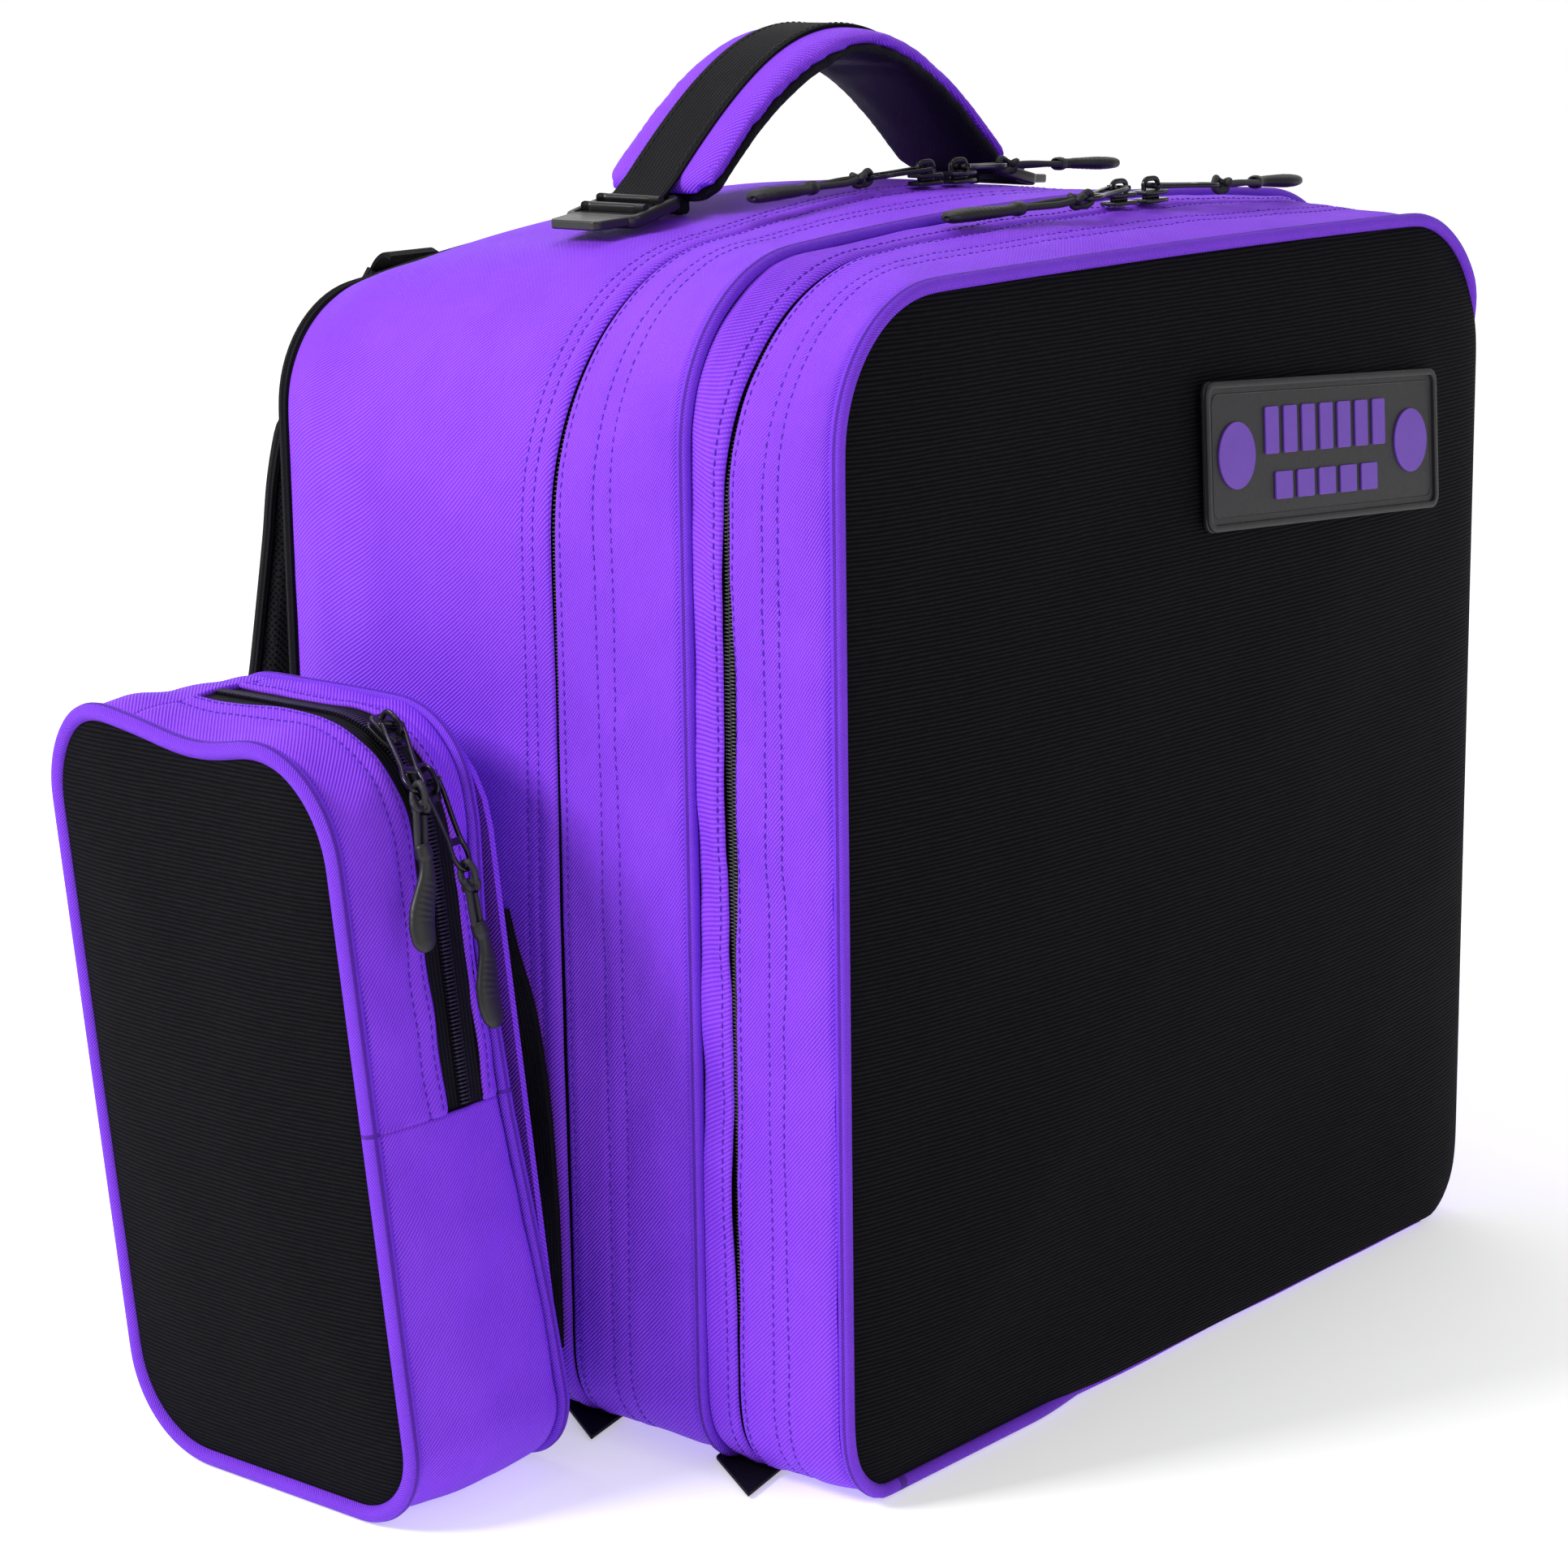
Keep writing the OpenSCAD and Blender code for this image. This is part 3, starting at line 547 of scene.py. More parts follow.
def prism(name, shape, bottom, top, material, round_by=0.3, segments=2):
    """A flat shape given a thickness and rounded edges."""
    shape = np.asarray(shape, float)
    n = len(shape)
    points = np.concatenate([np.column_stack([shape, np.full(n, z)]) for z in (bottom, top)])
    faces = [tuple(range(n - 1, -1, -1)), tuple(range(n, 2 * n))]
    faces += [(i, (i + 1) % n, n + (i + 1) % n, n + i) for i in range(n)]
    obj = new_object(name, points, faces, material)
    return bevel(obj, round_by, segments) if round_by else obj


def rounded_rect(width, height, r, n=6):
    corners = []
    for cx, cy, start in ((1, 1, 0), (-1, 1, 90), (-1, -1, 180), (1, -1, 270)):
        for a in np.linspace(start, start + 90, n):
            corners.append((cx * (width / 2 - r) + r * math.cos(math.radians(a)),
                            cy * (height / 2 - r) + r * math.sin(math.radians(a))))
    return np.array(corners)


def soft_section(width, thick, n, square_x, square_z):
    """A rounded section as (across, out) pairs; a lower power makes that side squarer."""
    a = np.arange(n) * math.tau / n
    x, z = (np.sign(v) * np.abs(v) ** power for v, power in ((np.cos(a), square_x), (np.sin(a), square_z)))
    return np.stack([width / 2 * x, thick / 2 * z], 1)


# ---------------------------------------------------------------- shape of the shell


def eased(table, reach=7.0):
    """A function of depth through a table's points, with its corners rounded off."""
    ys = np.arange(-40, DEPTH + 40.5, 0.5)
    values = np.interp(ys, *zip(*table))
    k = np.exp(-0.5 * (np.arange(-40, 41) * 0.5 / reach) ** 2)
    values = np.convolve(np.pad(values, 40, mode="edge"), k / k.sum(), mode="valid")
    return lambda y: np.interp(y, ys, values)


half_w = eased([(0, 198), (10, 201), (44, 203), (62, 201), (123, 201), (165, 202), (212, 201), (245, 197),
                (262, 192)], 3.0)
top_z = eased([(0, 410), (10, 413), (44, 420), (62, 423), (123, 425), (165, 427), (212, 424), (245, 417),
               (262, 410)], 4.0)
corner_r = eased([(0, 50), (10, 60), (44, 84), (62, 58), (90, 75), (123, 95), (165, 95), (212, 80), (245, 55),
                  (262, 42)], 3.0)
fall_z = eased([(0, 1), (44, 4), (62, 6), (123, 9), (262, 14)], 4.0)

# Each row of the shell: which stretch of the outline it is on, and how far along that stretch
ROWS = ([("foot", t) for t in np.linspace(0, 1, 12, endpoint=False)]
        + [("side", t) for t in np.linspace(0, 1, 92, endpoint=False)]
        + [("bend", t) for t in np.linspace(0, 1, 40, endpoint=False)]
        + [("crest", t) for t in np.linspace(0, 1, 36)])
HALF = len(ROWS)


def outline(y, inset=0.0):
    """Points of the shell from under its left side, over the top, to under its right side.

    y holds depths, rows by columns or columns only. Returns points and outward directions."""
    y = np.asarray(y, float)
    if y.ndim == 1:
        y = np.broadcast_to(y, (2 * HALF - 1, len(y)))
    w, top, r, fall = half_w(y), top_z(y), corner_r(y), fall_z(y)
    x, z = np.zeros_like(y), np.zeros_like(y)
    spring = top - fall - r
    for i in range(2 * HALF - 1):
        kind, t = ROWS[i] if i < HALF else ROWS[2 * HALF - 2 - i]
        if kind == "foot":
            a = math.radians(270 - 90 * t)
            xi, zi = -w[i] + FOOT_R + FOOT_R * math.cos(a), FOOT_R + FOOT_R * math.sin(a)
        elif kind == "side":
            xi, zi = -w[i], FOOT_R + (spring[i] - FOOT_R) * t
        elif kind == "bend":
            a = math.radians(180 - 90 * t)
            xi, zi = -w[i] + r[i] + r[i] * math.cos(a), spring[i] + r[i] * math.sin(a)
        else:
            xi = -(w[i] - r[i]) * (1 - t)
            zi = top[i] - fall[i] * (1 - t) ** 2
        x[i], z[i] = (xi, zi) if i < HALF else (-xi, zi)
    for _ in range(8):
        x[1:-1] = (x[:-2] + 2 * x[1:-1] + x[2:]) / 4
        z[1:-1] = (z[:-2] + 2 * z[1:-1] + z[2:]) / 4
    tx, tz = np.gradient(x, axis=0), np.gradient(z, axis=0)
    size = np.hypot(tx, tz)
    out = np.stack([-tz / size, np.zeros_like(x), tx / size], -1)
    points = np.stack([x, y, z], -1)
    return points - out * inset, out


REFERENCE, _ = outline(np.array([90.0]))
REFERENCE = REFERENCE[:, 0]
ALONG = run_length(REFERENCE)
ON_SIDE = np.clip(1 - np.abs(REFERENCE[:, 2] - 200) / 190, 0, 1)
LEFT = (REFERENCE[:, 0] < 0).astype(float)


def surface_height(x, y):
    flat = half_w(y) - corner_r(y)
    return top_z(y) - fall_z(y) * np.minimum(np.abs(x) / flat, 1) ** 2


def slit(zip_y):
    """Half of the opening between the two cloth edges of a zip, for each row."""
    z = REFERENCE[:, 2]
    if zip_y == ZIP_1:
        side = 2.1 * np.exp(-((z - 265) / 75) ** 2) + 0.9 * np.exp(-((z - 100) / 30) ** 2)
        return 0.55 + side * LEFT + 0.6 * side * (1 - LEFT)
    return 0.55 + 0.55 * np.exp(-((z - 350) / 50) ** 2) + 0.3 * np.exp(-((z - 150) / 80) ** 2)


SLIT = {ZIP_1: slit(ZIP_1), ZIP_2: slit(ZIP_2)}
SEAMS = (22.0, 28.0, 40.5, 48.5, 95.0, 103.0, 118.5, 131.5, 136.5)


def cloth_noise(points, scales, seed):
    scaled = points.reshape(-1, 3) / np.asarray(scales, float) + seed
    return np.array([noise.noise(Vector(p)) for p in scaled]).reshape(points.shape[:2])


def relief(points, y):
    """How far the sewn cloth stands out from the plain shell."""
    along = ALONG[:, None] * np.ones_like(y)
    d = np.zeros_like(y)
    for seam in SEAMS:
        pucker = 1 + 0.5 * np.sin(along * math.tau / 6.8 + seam)
        d -= 0.42 * pucker * np.exp(-((y - seam) / 1.25) ** 2)
    for zip_y in (ZIP_1, ZIP_2):
        from_edge = np.maximum(np.abs(y - zip_y) - SLIT[zip_y][:, None], 0)
        d -= 1.5 * np.exp(-from_edge / 0.8)
        d += 0.5 * np.exp(-((from_edge - 4.0) / 2.6) ** 2)
    for seam in (0.0, DIVIDER, DEPTH):
        from_seam = np.abs(y - seam)
        d -= 0.9 * np.exp(-((from_seam - EDGE) / 1.6) ** 2)
    coords = np.stack([along, y, np.zeros_like(y)], -1)
    creases = cloth_noise(coords, (34, 15, 1), 3.1) + 0.5 * cloth_noise(coords, (13, 9, 1), 7.7)
    broad = cloth_noise(coords, (120, 60, 1), 11.0)
    front = np.clip((118 - y) / 30, 0.22, 1)
    long_folds = cloth_noise(coords, (55, 11, 1), 15.0) * np.clip((60 - y) / 25, 0.15, 1)
    d += (1.5 * creases * front + 1.3 * long_folds + 1.7 * broad) * (0.35 + 0.65 * ON_SIDE[:, None])
    soft = np.sin(np.clip((points[:, :, 2] - 20) / 360, 0, 1) * math.pi)
    d += 1.8 * soft * np.clip((y - 140) / 40, 0, 1) * np.clip((262 - y) / 40, 0, 1)
    return d


def shell_surface(y):
    """The cloth of the shell at the given depths, with its outward directions."""
    points, out = outline(y)
    points = points + out * relief(points, points[:, :, 1])[..., None]
    points[:, :, 2] = np.maximum(points[:, :, 2], FLOOR)
    return points, out


def band(name, first, last, columns):
    """Cloth over the shell between two depths; either may be one depth for each row."""
    first, last = (np.broadcast_to(np.asarray(e, float), (2 * HALF - 1,)) for e in (first, last))
    share = 0.5 - 0.5 * np.cos(np.linspace(0, math.pi, columns))
    y = first[:, None] + (last - first)[:, None] * share
    points, _ = shell_surface(y)
    uv = np.stack([np.broadcast_to(ALONG[:, None], y.shape), y], -1)
    return sheet_grid(name, points, M["purple"], uv, inward=INSIDE, thick=CLOTH)


def seam_line(depth, lift=0.0):
    """A line over the shell at one depth, on the cloth, with its outward direction."""
    points, out = shell_surface(np.array([depth]))
    return points[:, 0] + out[:, 0] * lift, out[:, 0]


def with_mid(obj):
    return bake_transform(obj)


def with_front(obj):
    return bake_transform(obj)


def zip_tape(name, zip_y, side):
    """One tape of a zip, tucked under the cloth's edge, with its half of the coil."""
    near = zip_y + side * 0.45
    far = zip_y + side * 11.0
    y = np.broadcast_to(np.linspace(near, far, 6), (2 * HALF - 1, 6))
    points, out = outline(y, 3.4)
    uv = np.stack([y, np.broadcast_to(ALONG[:, None], y.shape)], -1)
    tape = sheet_grid(name, points, M["tape"], uv, inward=INSIDE, thick=0.7)
    line, normal = outline(np.array([zip_y + side * 0.9]), 2.7)
    path, normal = line[:, 0], normal[:, 0]
    even = np.arange(0, ALONG[-1], 1.3)
    centre, outward = sampled(even, ALONG, path), unit(sampled(even, ALONG, normal))
    return joined(name, [tape, teeth(name + "_teeth", centre, outward, np.array([0, -side, 0]))])


def teeth(name, centre, outward, across, size=(1.5, 0.42, 0.75)):
    """Coil teeth: small rounded loops that reach across the zip from each centre."""
    along = unit(np.gradient(centre, axis=0))
    a = np.arange(6) * math.tau / 6
    points, faces = [], []
    for c, n, t in zip(centre, outward, along):
        base = len(points)
        for reach, r in ((-size[0], 0.5), (-size[0] * 0.4, 1.0), (size[0] * 0.5, 1.0), (size[0] * 0.8, 0.5)):
            for angle in a:
                points.append(c + across * reach + t * size[1] * r * math.cos(angle)
                              + n * size[2] * r * math.sin(angle))
        faces += grid_faces(4, 6, wrap_columns=True, start=base)
        faces += [tuple(base + 5 - i for i in range(6)), tuple(base + 18 + i for i in range(6))]
    return new_object(name, np.array(points), faces, M["coil"])


def piping_ring(name, path, up, material, closed=True, r=PIPING):
    """Cloth sewn round a cord."""
    return swept(name, path, lambda k: circle(r, 14), up, material, closed)


def build_shell():
    front = band("front_gusset_skin", EDGE, ZIP_1 - SLIT[ZIP_1], 40)
    as_piece(front, "purple_fabric", with_front, "front_gusset")
    mid_front = band("mid_front_skin", ZIP_1 + SLIT[ZIP_1], DIVIDER - EDGE, 18)
    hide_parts("mid_gusset_front")
    mid_rear = band("mid_rear_skin", DIVIDER + EDGE, ZIP_2 - SLIT[ZIP_2], 52)
    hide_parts("mid_gusset_rear")
    for piece in (mid_front, mid_rear):
        as_piece(piece, "purple_fabric", with_mid)
    rear = band("rear_gusset_skin", ZIP_2 + SLIT[ZIP_2], DEPTH - EDGE, 96)
    as_piece(rear, "purple_fabric", "bag_body", "rear_gusset")
    for name, zip_y, side, node, follow in (
            ("front_zip_cover_side", ZIP_1, -1, "front_zip_cover_tape", with_front),
            ("front_zip_body_side", ZIP_1, 1, "front_zip_body_tape", with_mid),
            ("main_zip_front_side", ZIP_2, -1, "main_zip_front_tape", with_mid),
            ("main_zip_rear_side", ZIP_2, 1, "main_zip_rear_tape", "bag_body")):
        piece = zip_tape(name, zip_y, side)
        as_piece(piece, "zip_tape", follow, node)
    for name, depths, follow in (("front_gusset_stitches", SEAMS[:3], with_front),
                                 ("mid_gusset_stitches", SEAMS[3:7], with_mid),
                                 ("rear_gusset_stitches", SEAMS[7:], "bag_body")):
        piece = stitches(name, [seam_line(d, 0.12) for d in depths], M["thread"])
        as_piece(piece, "purple_trim", follow)


def base_skin():
    """The flat bottom of the bag, a reinforced panel with its own slight waves."""
    ys = np.linspace(1.0, DEPTH - 1, 70)
    half = half_w(ys) - FOOT_R + 1.0
    xs = np.linspace(-1, 1, 90)
    x = xs[:, None] * half[None, :]
    y = np.broadcast_to(ys, x.shape)
    wave = cloth_noise(np.stack([x, y, 0 * x], -1), (60, 40, 1), 21.0)
    points = np.stack([x, y, 0.9 + 0.8 * wave + 0.0 * x], -1)
    uv = np.stack([x, y], -1)
    piece = sheet_grid("base_skin", points, M["purple"], uv, inward=INSIDE, thick=2.6)
    as_piece(piece, "purple_fabric", "bag_body", "base_panel")


# ---------------------------------------------------------------- front cover


def smoothstep(value, first, last):
    t = np.clip((np.asarray(value, float) - first) / (last - first), 0, 1)
    return t * t * (3 - 2 * t)


TUCKED = 5.5


def tuck(x, z):
    """How far the front piping lies back behind the swollen panel, at the right and below."""
    right = smoothstep(x, 172, 192) * smoothstep(z, 385, 350)
    below = smoothstep(z, 26, 8) * smoothstep(x, -95, -40)
    return TUCKED * np.maximum(right, below)


def closed_outline(y, inset):
    """Whole outline of an upright panel at depth y: the shell's, closed under the base."""
    points, out = outline(np.array([y]))
    points = points[:, 0] - out[:, 0] * inset
    left, right = points[0], points[-1]
    under = np.linspace(right, left, 60)[1:-1]
    ring = np.concatenate([points, under])
    ring[:, 2] = np.maximum(ring[:, 2], 4.5 - PIPING + inset)
    closed = np.concatenate([ring, ring[:1]])
    length = run_length(closed)
    return sampled(np.linspace(0, length[-1], 421)[:-1], length, closed)


def crowned_panel(name, ring, axis, crown, material, uv_axes, bumps, thick=2.4, power=1.0, rings=46):
    """A padded panel inside a closed ring, swelling along axis by crown."""
    centre = (ring.max(0) + ring.min(0)) / 2
    axis = np.asarray(axis, float)
    shares = 1 - (np.arange(rings) / rings) ** 1.6
    lifts = crown * (1 - shares ** 2) ** power + 1.6 * (1 - shares ** 30)
    points = centre + (ring - centre)[None] * shares[:, None, None] + axis * lifts[:, None, None]
    points = points + axis * bumps(points, shares[:, None])[..., None]
    middle = points[-1].mean(0)
    flat = np.concatenate([points.reshape(-1, 3), [middle]])
    count = len(ring)
    faces = grid_faces(rings, count, wrap_columns=True)
    inner = (rings - 1) * count
    faces += [(inner + i, rings * count, inner + (i + 1) % count) for i in range(count)]
    quad = flat[list(faces[count * 3])]
    if np.cross(quad[1] - quad[0], quad[2] - quad[0]) @ axis < 0:
        faces = [f[::-1] for f in faces]
    return thicken(new_object(name, flat, faces, material, flat[:, list(uv_axes)]), thick)


def front_bumps(points, share):
    flat = np.stack([points[..., 0], points[..., 2], 0 * points[..., 0]], -1)
    broad = cloth_noise(flat, (110, 90, 1), 31.0) + 0.35 * cloth_noise(flat, (38, 30, 1), 37.0)
    edge = np.clip((1 - share) * 6, 0, 1)
    return 1.7 * broad * edge


def build_front():
    inner = closed_outline(-0.4, EDGE - 0.2)
    back = tuck(inner[:, 0], inner[:, 2]) / TUCKED
    wide = closed_outline(-0.4, 0.4)
    inner = inner + (wide - inner) * back[:, None]
    panel = crowned_panel("front_panel_skin", inner, (0, -1, 0), 15.0, M["ribbed"], (0, 2), front_bumps,
                          power=0.9)
    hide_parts("front_panel")
    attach(panel, "front_cover")
    section = ((EDGE + 1.5, 1.5), (EDGE - 0.3, 3.0), (EDGE - 0.6, EDGE + 4), (EDGE - 0.6, EDGE + 9))
    seam = np.stack([closed_outline(y, inset) for y, inset in section], 1)
    seam = np.concatenate([seam, seam[:1]])
    length = np.arange(len(seam))[:, None] * 3.0 + np.zeros((1, 4))
    binding = sheet_grid("front_seam_binding", seam, M["webbing"],
                         np.stack([length, np.broadcast_to([0.0, 2.0, 6.0, 11.0], length.shape)], -1),
                         inward=(0, 200, 180), thick=0.8)
    as_piece(binding, "black_webbing", "front_cover")
    ring = closed_outline(0.0, 0.6)
    ring[:, 1] += tuck(ring[:, 0], ring[:, 2])
    piping = piping_ring("front_piping_skin", ring, (0, 1, 0), M["trim"])
    as_piece(piping, "purple_trim", "front_cover", "front_piping")
    line, _ = outline(np.array([DIVIDER]), 0.4)
    middle = piping_ring("mid_piping_skin", line[:, 0], (0, 1, 0), M["trim"], closed=False)
    as_piece(middle, "purple_trim", with_mid, "mid_piping")


# ---------------------------------------------------------------- side pocket


def rounded_corner(before, corner, after, r, n=24):
    to_a, to_b = unit(before - corner), unit(after - corner)
    half = math.acos(float(np.clip(to_a @ to_b, -1, 1))) / 2
    centre = corner + unit(to_a + to_b) * r / math.sin(half)
    first, last = (corner + d * r / math.tan(half) - centre for d in (to_a, to_b))
    turn = math.atan2(last[1], last[0]) - math.atan2(first[1], first[0])
    turn = (turn + math.pi) % math.tau - math.pi
    a = math.atan2(first[1], first[0]) + turn * np.linspace(0, 1, n)
    return centre + r * np.stack([np.cos(a), np.sin(a)], 1)


def pocket_front(z):
    return POCKET_Y + POCKET_LEAN * (z - POCKET_Z) / POCKET_H


FOLD_LOW = np.array([pocket_front(ZIP_LOW_Z), ZIP_LOW_Z])
FOLD_HIGH = np.array([POCKET_Y + POCKET_LEN + POCKET_LEAN - ZIP_BACK, POCKET_TOP])


def pocket_ring(inset, count=500):
    """Outline of the pocket in depth and height, from the zip's lower end down and round to it again."""
    front, rear = POCKET_Y + inset, POCKET_Y + POCKET_LEN - inset
    corners = np.array([[front, POCKET_Z + inset], [rear, POCKET_Z + inset],
                        [rear + POCKET_LEAN, POCKET_TOP - inset], [front + POCKET_LEAN, POCKET_TOP - inset]])
    ring = np.concatenate([rounded_corner(corners[k - 1], corners[k], corners[(k + 1) % 4],
                                          POCKET_RADII[k] - inset) for k in range(4)])
    ring = np.concatenate([ring, ring[:1]])
    length = run_length(ring)
    fine = sampled(np.linspace(0, length[-1], 8001)[:-1], length, ring)
    start = int(np.argmin(np.linalg.norm(fine - FOLD_LOW, axis=1)))
    fine = np.roll(fine, -start, 0)
    even = fine[np.linspace(0, 8000, count + 1).astype(int)[:-1]]
    for _ in range(3):
        even = (np.roll(even, 1, 0) + 2 * even + np.roll(even, -1, 0)) / 4
    return even


RING = pocket_ring(0.0)
STEP = np.linalg.norm(RING[1] - RING[0])
TANGENT = unit(np.roll(RING, -1, 0) - np.roll(RING, 1, 0))
OUTWARD = np.stack([TANGENT[:, 1], -TANGENT[:, 0]], 1)
ZIP_START = int(np.argmin(np.linalg.norm(RING - FOLD_HIGH, axis=1)))
POCKET_ZIP_ROWS = np.arange(ZIP_START, len(RING) + 1) % len(RING)
POCKET_REST_ROWS = np.arange(0, ZIP_START + 1)
ZIP_OPEN = 9.0
POCKET_SEAMS = (ZIP_OPEN + 3.0, ZIP_OPEN + 8.5)


def inner_side(y, z):
    """Place across the bag of the pocket's inner seam, drawn outwards along its front edge."""
    near_front = np.clip(1 - (y - pocket_front(z)) / 70.0, 0, 1) ** 1.5
    drawn = np.interp(z, (0, 60, 130, 190, 235, 265), (1.0, 5.0, 12.5, 15.5, 11.0, 5.0))
    return POCKET_IN - drawn * near_front


def pocket_relief(rows, x, zipped):
    """How far the pocket's cloth stands out from its plain outline."""
    s = rows[:, None] * STEP * np.ones_like(x)
    inner = inner_side(RING[rows, 0], RING[rows, 1])[:, None]
    across = (x - POCKET_OUT) / (inner - POCKET_OUT)
    d = 2.4 * np.sin(np.clip(across, 0, 1) * math.pi) - 0.6
    for edge in (POCKET_OUT + EDGE, inner - EDGE):
        d -= 1.0 * np.exp(-np.abs(x - edge) / 1.5)
    coords = np.stack([s, x, 0 * x], -1)
    d += 1.5 * cloth_noise(coords, (30, 22, 1), 51.0) + 1.1 * cloth_noise(coords, (75, 40, 1), 57.0)
    slanted = np.stack([s + x * 0.9, x * 0.8 - s * 0.3, 0 * x], -1)
    d += 0.8 * cloth_noise(slanted, (16, 40, 1), 53.0)
    if zipped:
        from_edge = np.abs(np.abs(x - ZIP_X) - ZIP_OPEN)
        d += 0.7 * np.exp(-((from_edge - 3) / 2.5) ** 2) - 0.9 * np.exp(-from_edge / 0.8)
        for seam in POCKET_SEAMS:
            d -= 0.45 * np.exp(-((np.abs(x - ZIP_X) - seam) / 1.0) ** 2)
    return d


def sagged(points):
    """Lets the top edge of the pocket's outer side dip in the middle and rise at the rear."""
    x, y, z = points[..., 0], points[..., 1], points[..., 2]
    share = np.clip((ZIP_X - 8 - x) / 30, 0, 1) * smoothstep(z, 225, 262)
    dip = 3.0 * np.exp(-((y - 258) / 16) ** 2) - 6.5 * np.exp(-((y - 192) / 30) ** 2)
    return points + np.stack([0 * x, 0 * x, share * dip], -1)


def pocket_skin(rows, x, zipped, lift=0.0):
    """Points on the pocket's cloth: rows are places round the ring, x is rows by columns."""
    d = pocket_relief(rows, x, zipped) + lift
    flat = RING[rows][:, None, :] + OUTWARD[rows][:, None, :] * d[..., None]
    return sagged(np.stack([x, flat[..., 0], np.maximum(flat[..., 1], FLOOR)], -1))


def pocket_band(name, rows, first, last, columns, zipped):
    first, last = (np.broadcast_to(e, (len(rows),))[:, None] for e in (first, last))
    x = first + (last - first) * np.linspace(0, 1, columns)
    points = pocket_skin(rows, x, zipped)
    along = np.arange(len(rows))[:, None] * STEP * np.ones_like(x)
    middle = RING.mean(0)
    return sheet_grid(name, points, M["purple"], np.stack([along, x], -1),
                      inward=(ZIP_X, middle[0], middle[1]), thick=1.9)


def fold_with_flap(obj):
    """Bakes the piece's placement into its mesh; nothing here bends the upper front corner with the flap."""
    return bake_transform(obj)


def pocket_line(rows, x, lift):
    xs = np.full((len(rows), 1), float(x))
    points = pocket_skin(rows, xs, True, lift)[:, 0]
    normal = np.concatenate([np.zeros((len(rows), 1)), OUTWARD[rows]], 1)
    return points, normal


def pocket_tape(name, side):
    near, far = ZIP_X + side * 0.45, ZIP_X + side * TAPE_HALF
    x = np.linspace(near, far, 6)[None, :] * np.ones((len(POCKET_ZIP_ROWS), 1))
    flat = RING[POCKET_ZIP_ROWS] - OUTWARD[POCKET_ZIP_ROWS] * 0.2
    points = np.stack([x, np.broadcast_to(flat[:, :1], x.shape), np.broadcast_to(flat[:, 1:], x.shape)], -1)
    along = np.arange(len(POCKET_ZIP_ROWS))[:, None] * STEP * np.ones_like(x)
    tape = sheet_grid(name, points, M["tape"], np.stack([x, along], -1),
                      inward=(ZIP_X, *RING.mean(0)), thick=0.8)
    length = np.arange(len(flat)) * STEP
    even = np.arange(1, length[-1] - 1, 1.35)
    normal = OUTWARD[POCKET_ZIP_ROWS]
    line = sampled(even, length, flat + normal * 0.9)
    centre = np.column_stack([np.full(len(even), ZIP_X + side * 0.95), line])
    outward = np.column_stack([np.zeros(len(even)), sampled(even, length, normal)])
    return joined(name, [tape, teeth(name + "_teeth", centre, unit(outward), np.array([-side, 0, 0]))])


def pocket_bumps(points, share):
    flat = np.stack([points[..., 1], points[..., 2], 0 * points[..., 0]], -1)
    broad = cloth_noise(flat, (70, 70, 1), 61.0) + 0.35 * cloth_noise(flat, (26, 22, 1), 67.0)
    return 1.3 * broad * np.clip((1 - share) * 5, 0, 1)


def build_pocket():
    inner_edge = inner_side(RING[:, 0], RING[:, 1]) - EDGE
    rest = pocket_band("pocket_gusset_skin", POCKET_REST_ROWS, POCKET_OUT + EDGE,
                       inner_edge[POCKET_REST_ROWS], 44, False)
    inner = pocket_band("pocket_gusset_inner", POCKET_ZIP_ROWS, ZIP_X + ZIP_OPEN,
                        inner_edge[POCKET_ZIP_ROWS], 22, True)
    for piece in (rest, inner):
        as_piece(piece, "purple_fabric", "bag_body", "pocket_gusset")
    outer = pocket_band("pocket_gusset_outer", POCKET_ZIP_ROWS, POCKET_OUT + EDGE, ZIP_X - ZIP_OPEN, 22, True)
    as_piece(outer, "purple_fabric", fold_with_flap, "pocket_flap")
    ring = np.array([[POCKET_OUT - 0.4, y, z] for y, z in pocket_ring(EDGE - 0.3)])
    ring = sagged(ring)
    panel = crowned_panel("pocket_panel_skin", ring, (-1, 0, 0), 6.0, M["ribbed"], (1, 2), pocket_bumps,
                          rings=40)
    as_piece(panel, "ribbed_black", fold_with_flap, "pocket_outer_panel", "pocket_flap")
    for name, x, node in (("pocket_outer_piping_skin", POCKET_OUT, "pocket_outer_piping"),
                          ("pocket_inner_piping_skin", POCKET_IN, "pocket_inner_piping")):
        line = np.array([[x if x == POCKET_OUT else inner_side(y, z), y, z] for y, z in pocket_ring(1.5)])
        line = sagged(line)
        piece = piping_ring(name, line, (1, 0, 0), M["trim"], r=3.2 if x == POCKET_OUT else PIPING)
        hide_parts(node)
        if x == POCKET_OUT:
            fold_with_flap(piece)
        else:
            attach(piece, "bag_body")
    for name, side, node in (("pocket_tape_outer", -1, "pocket_flap"),
                             ("pocket_tape_inner", 1, "pocket_zip")):
        piece = pocket_tape(name, side)
        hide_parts(node)
        if side < 0:
            fold_with_flap(piece)
        else:
            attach(piece, "bag_body")
    rows = [pocket_line(POCKET_ZIP_ROWS, ZIP_X - d, 0.15) for d in POCKET_SEAMS]
    sewn = stitches("pocket_stitches_outer", rows, M["thread"])
    as_piece(sewn, "purple_trim", fold_with_flap)
    rows = [pocket_line(POCKET_ZIP_ROWS, ZIP_X + POCKET_SEAMS[0], 0.15)]
    sewn = stitches("pocket_stitches_inner", rows, M["thread"])
    as_piece(sewn, "purple_trim", "bag_body")


# ---------------------------------------------------------------- pieces made from CAD nodes


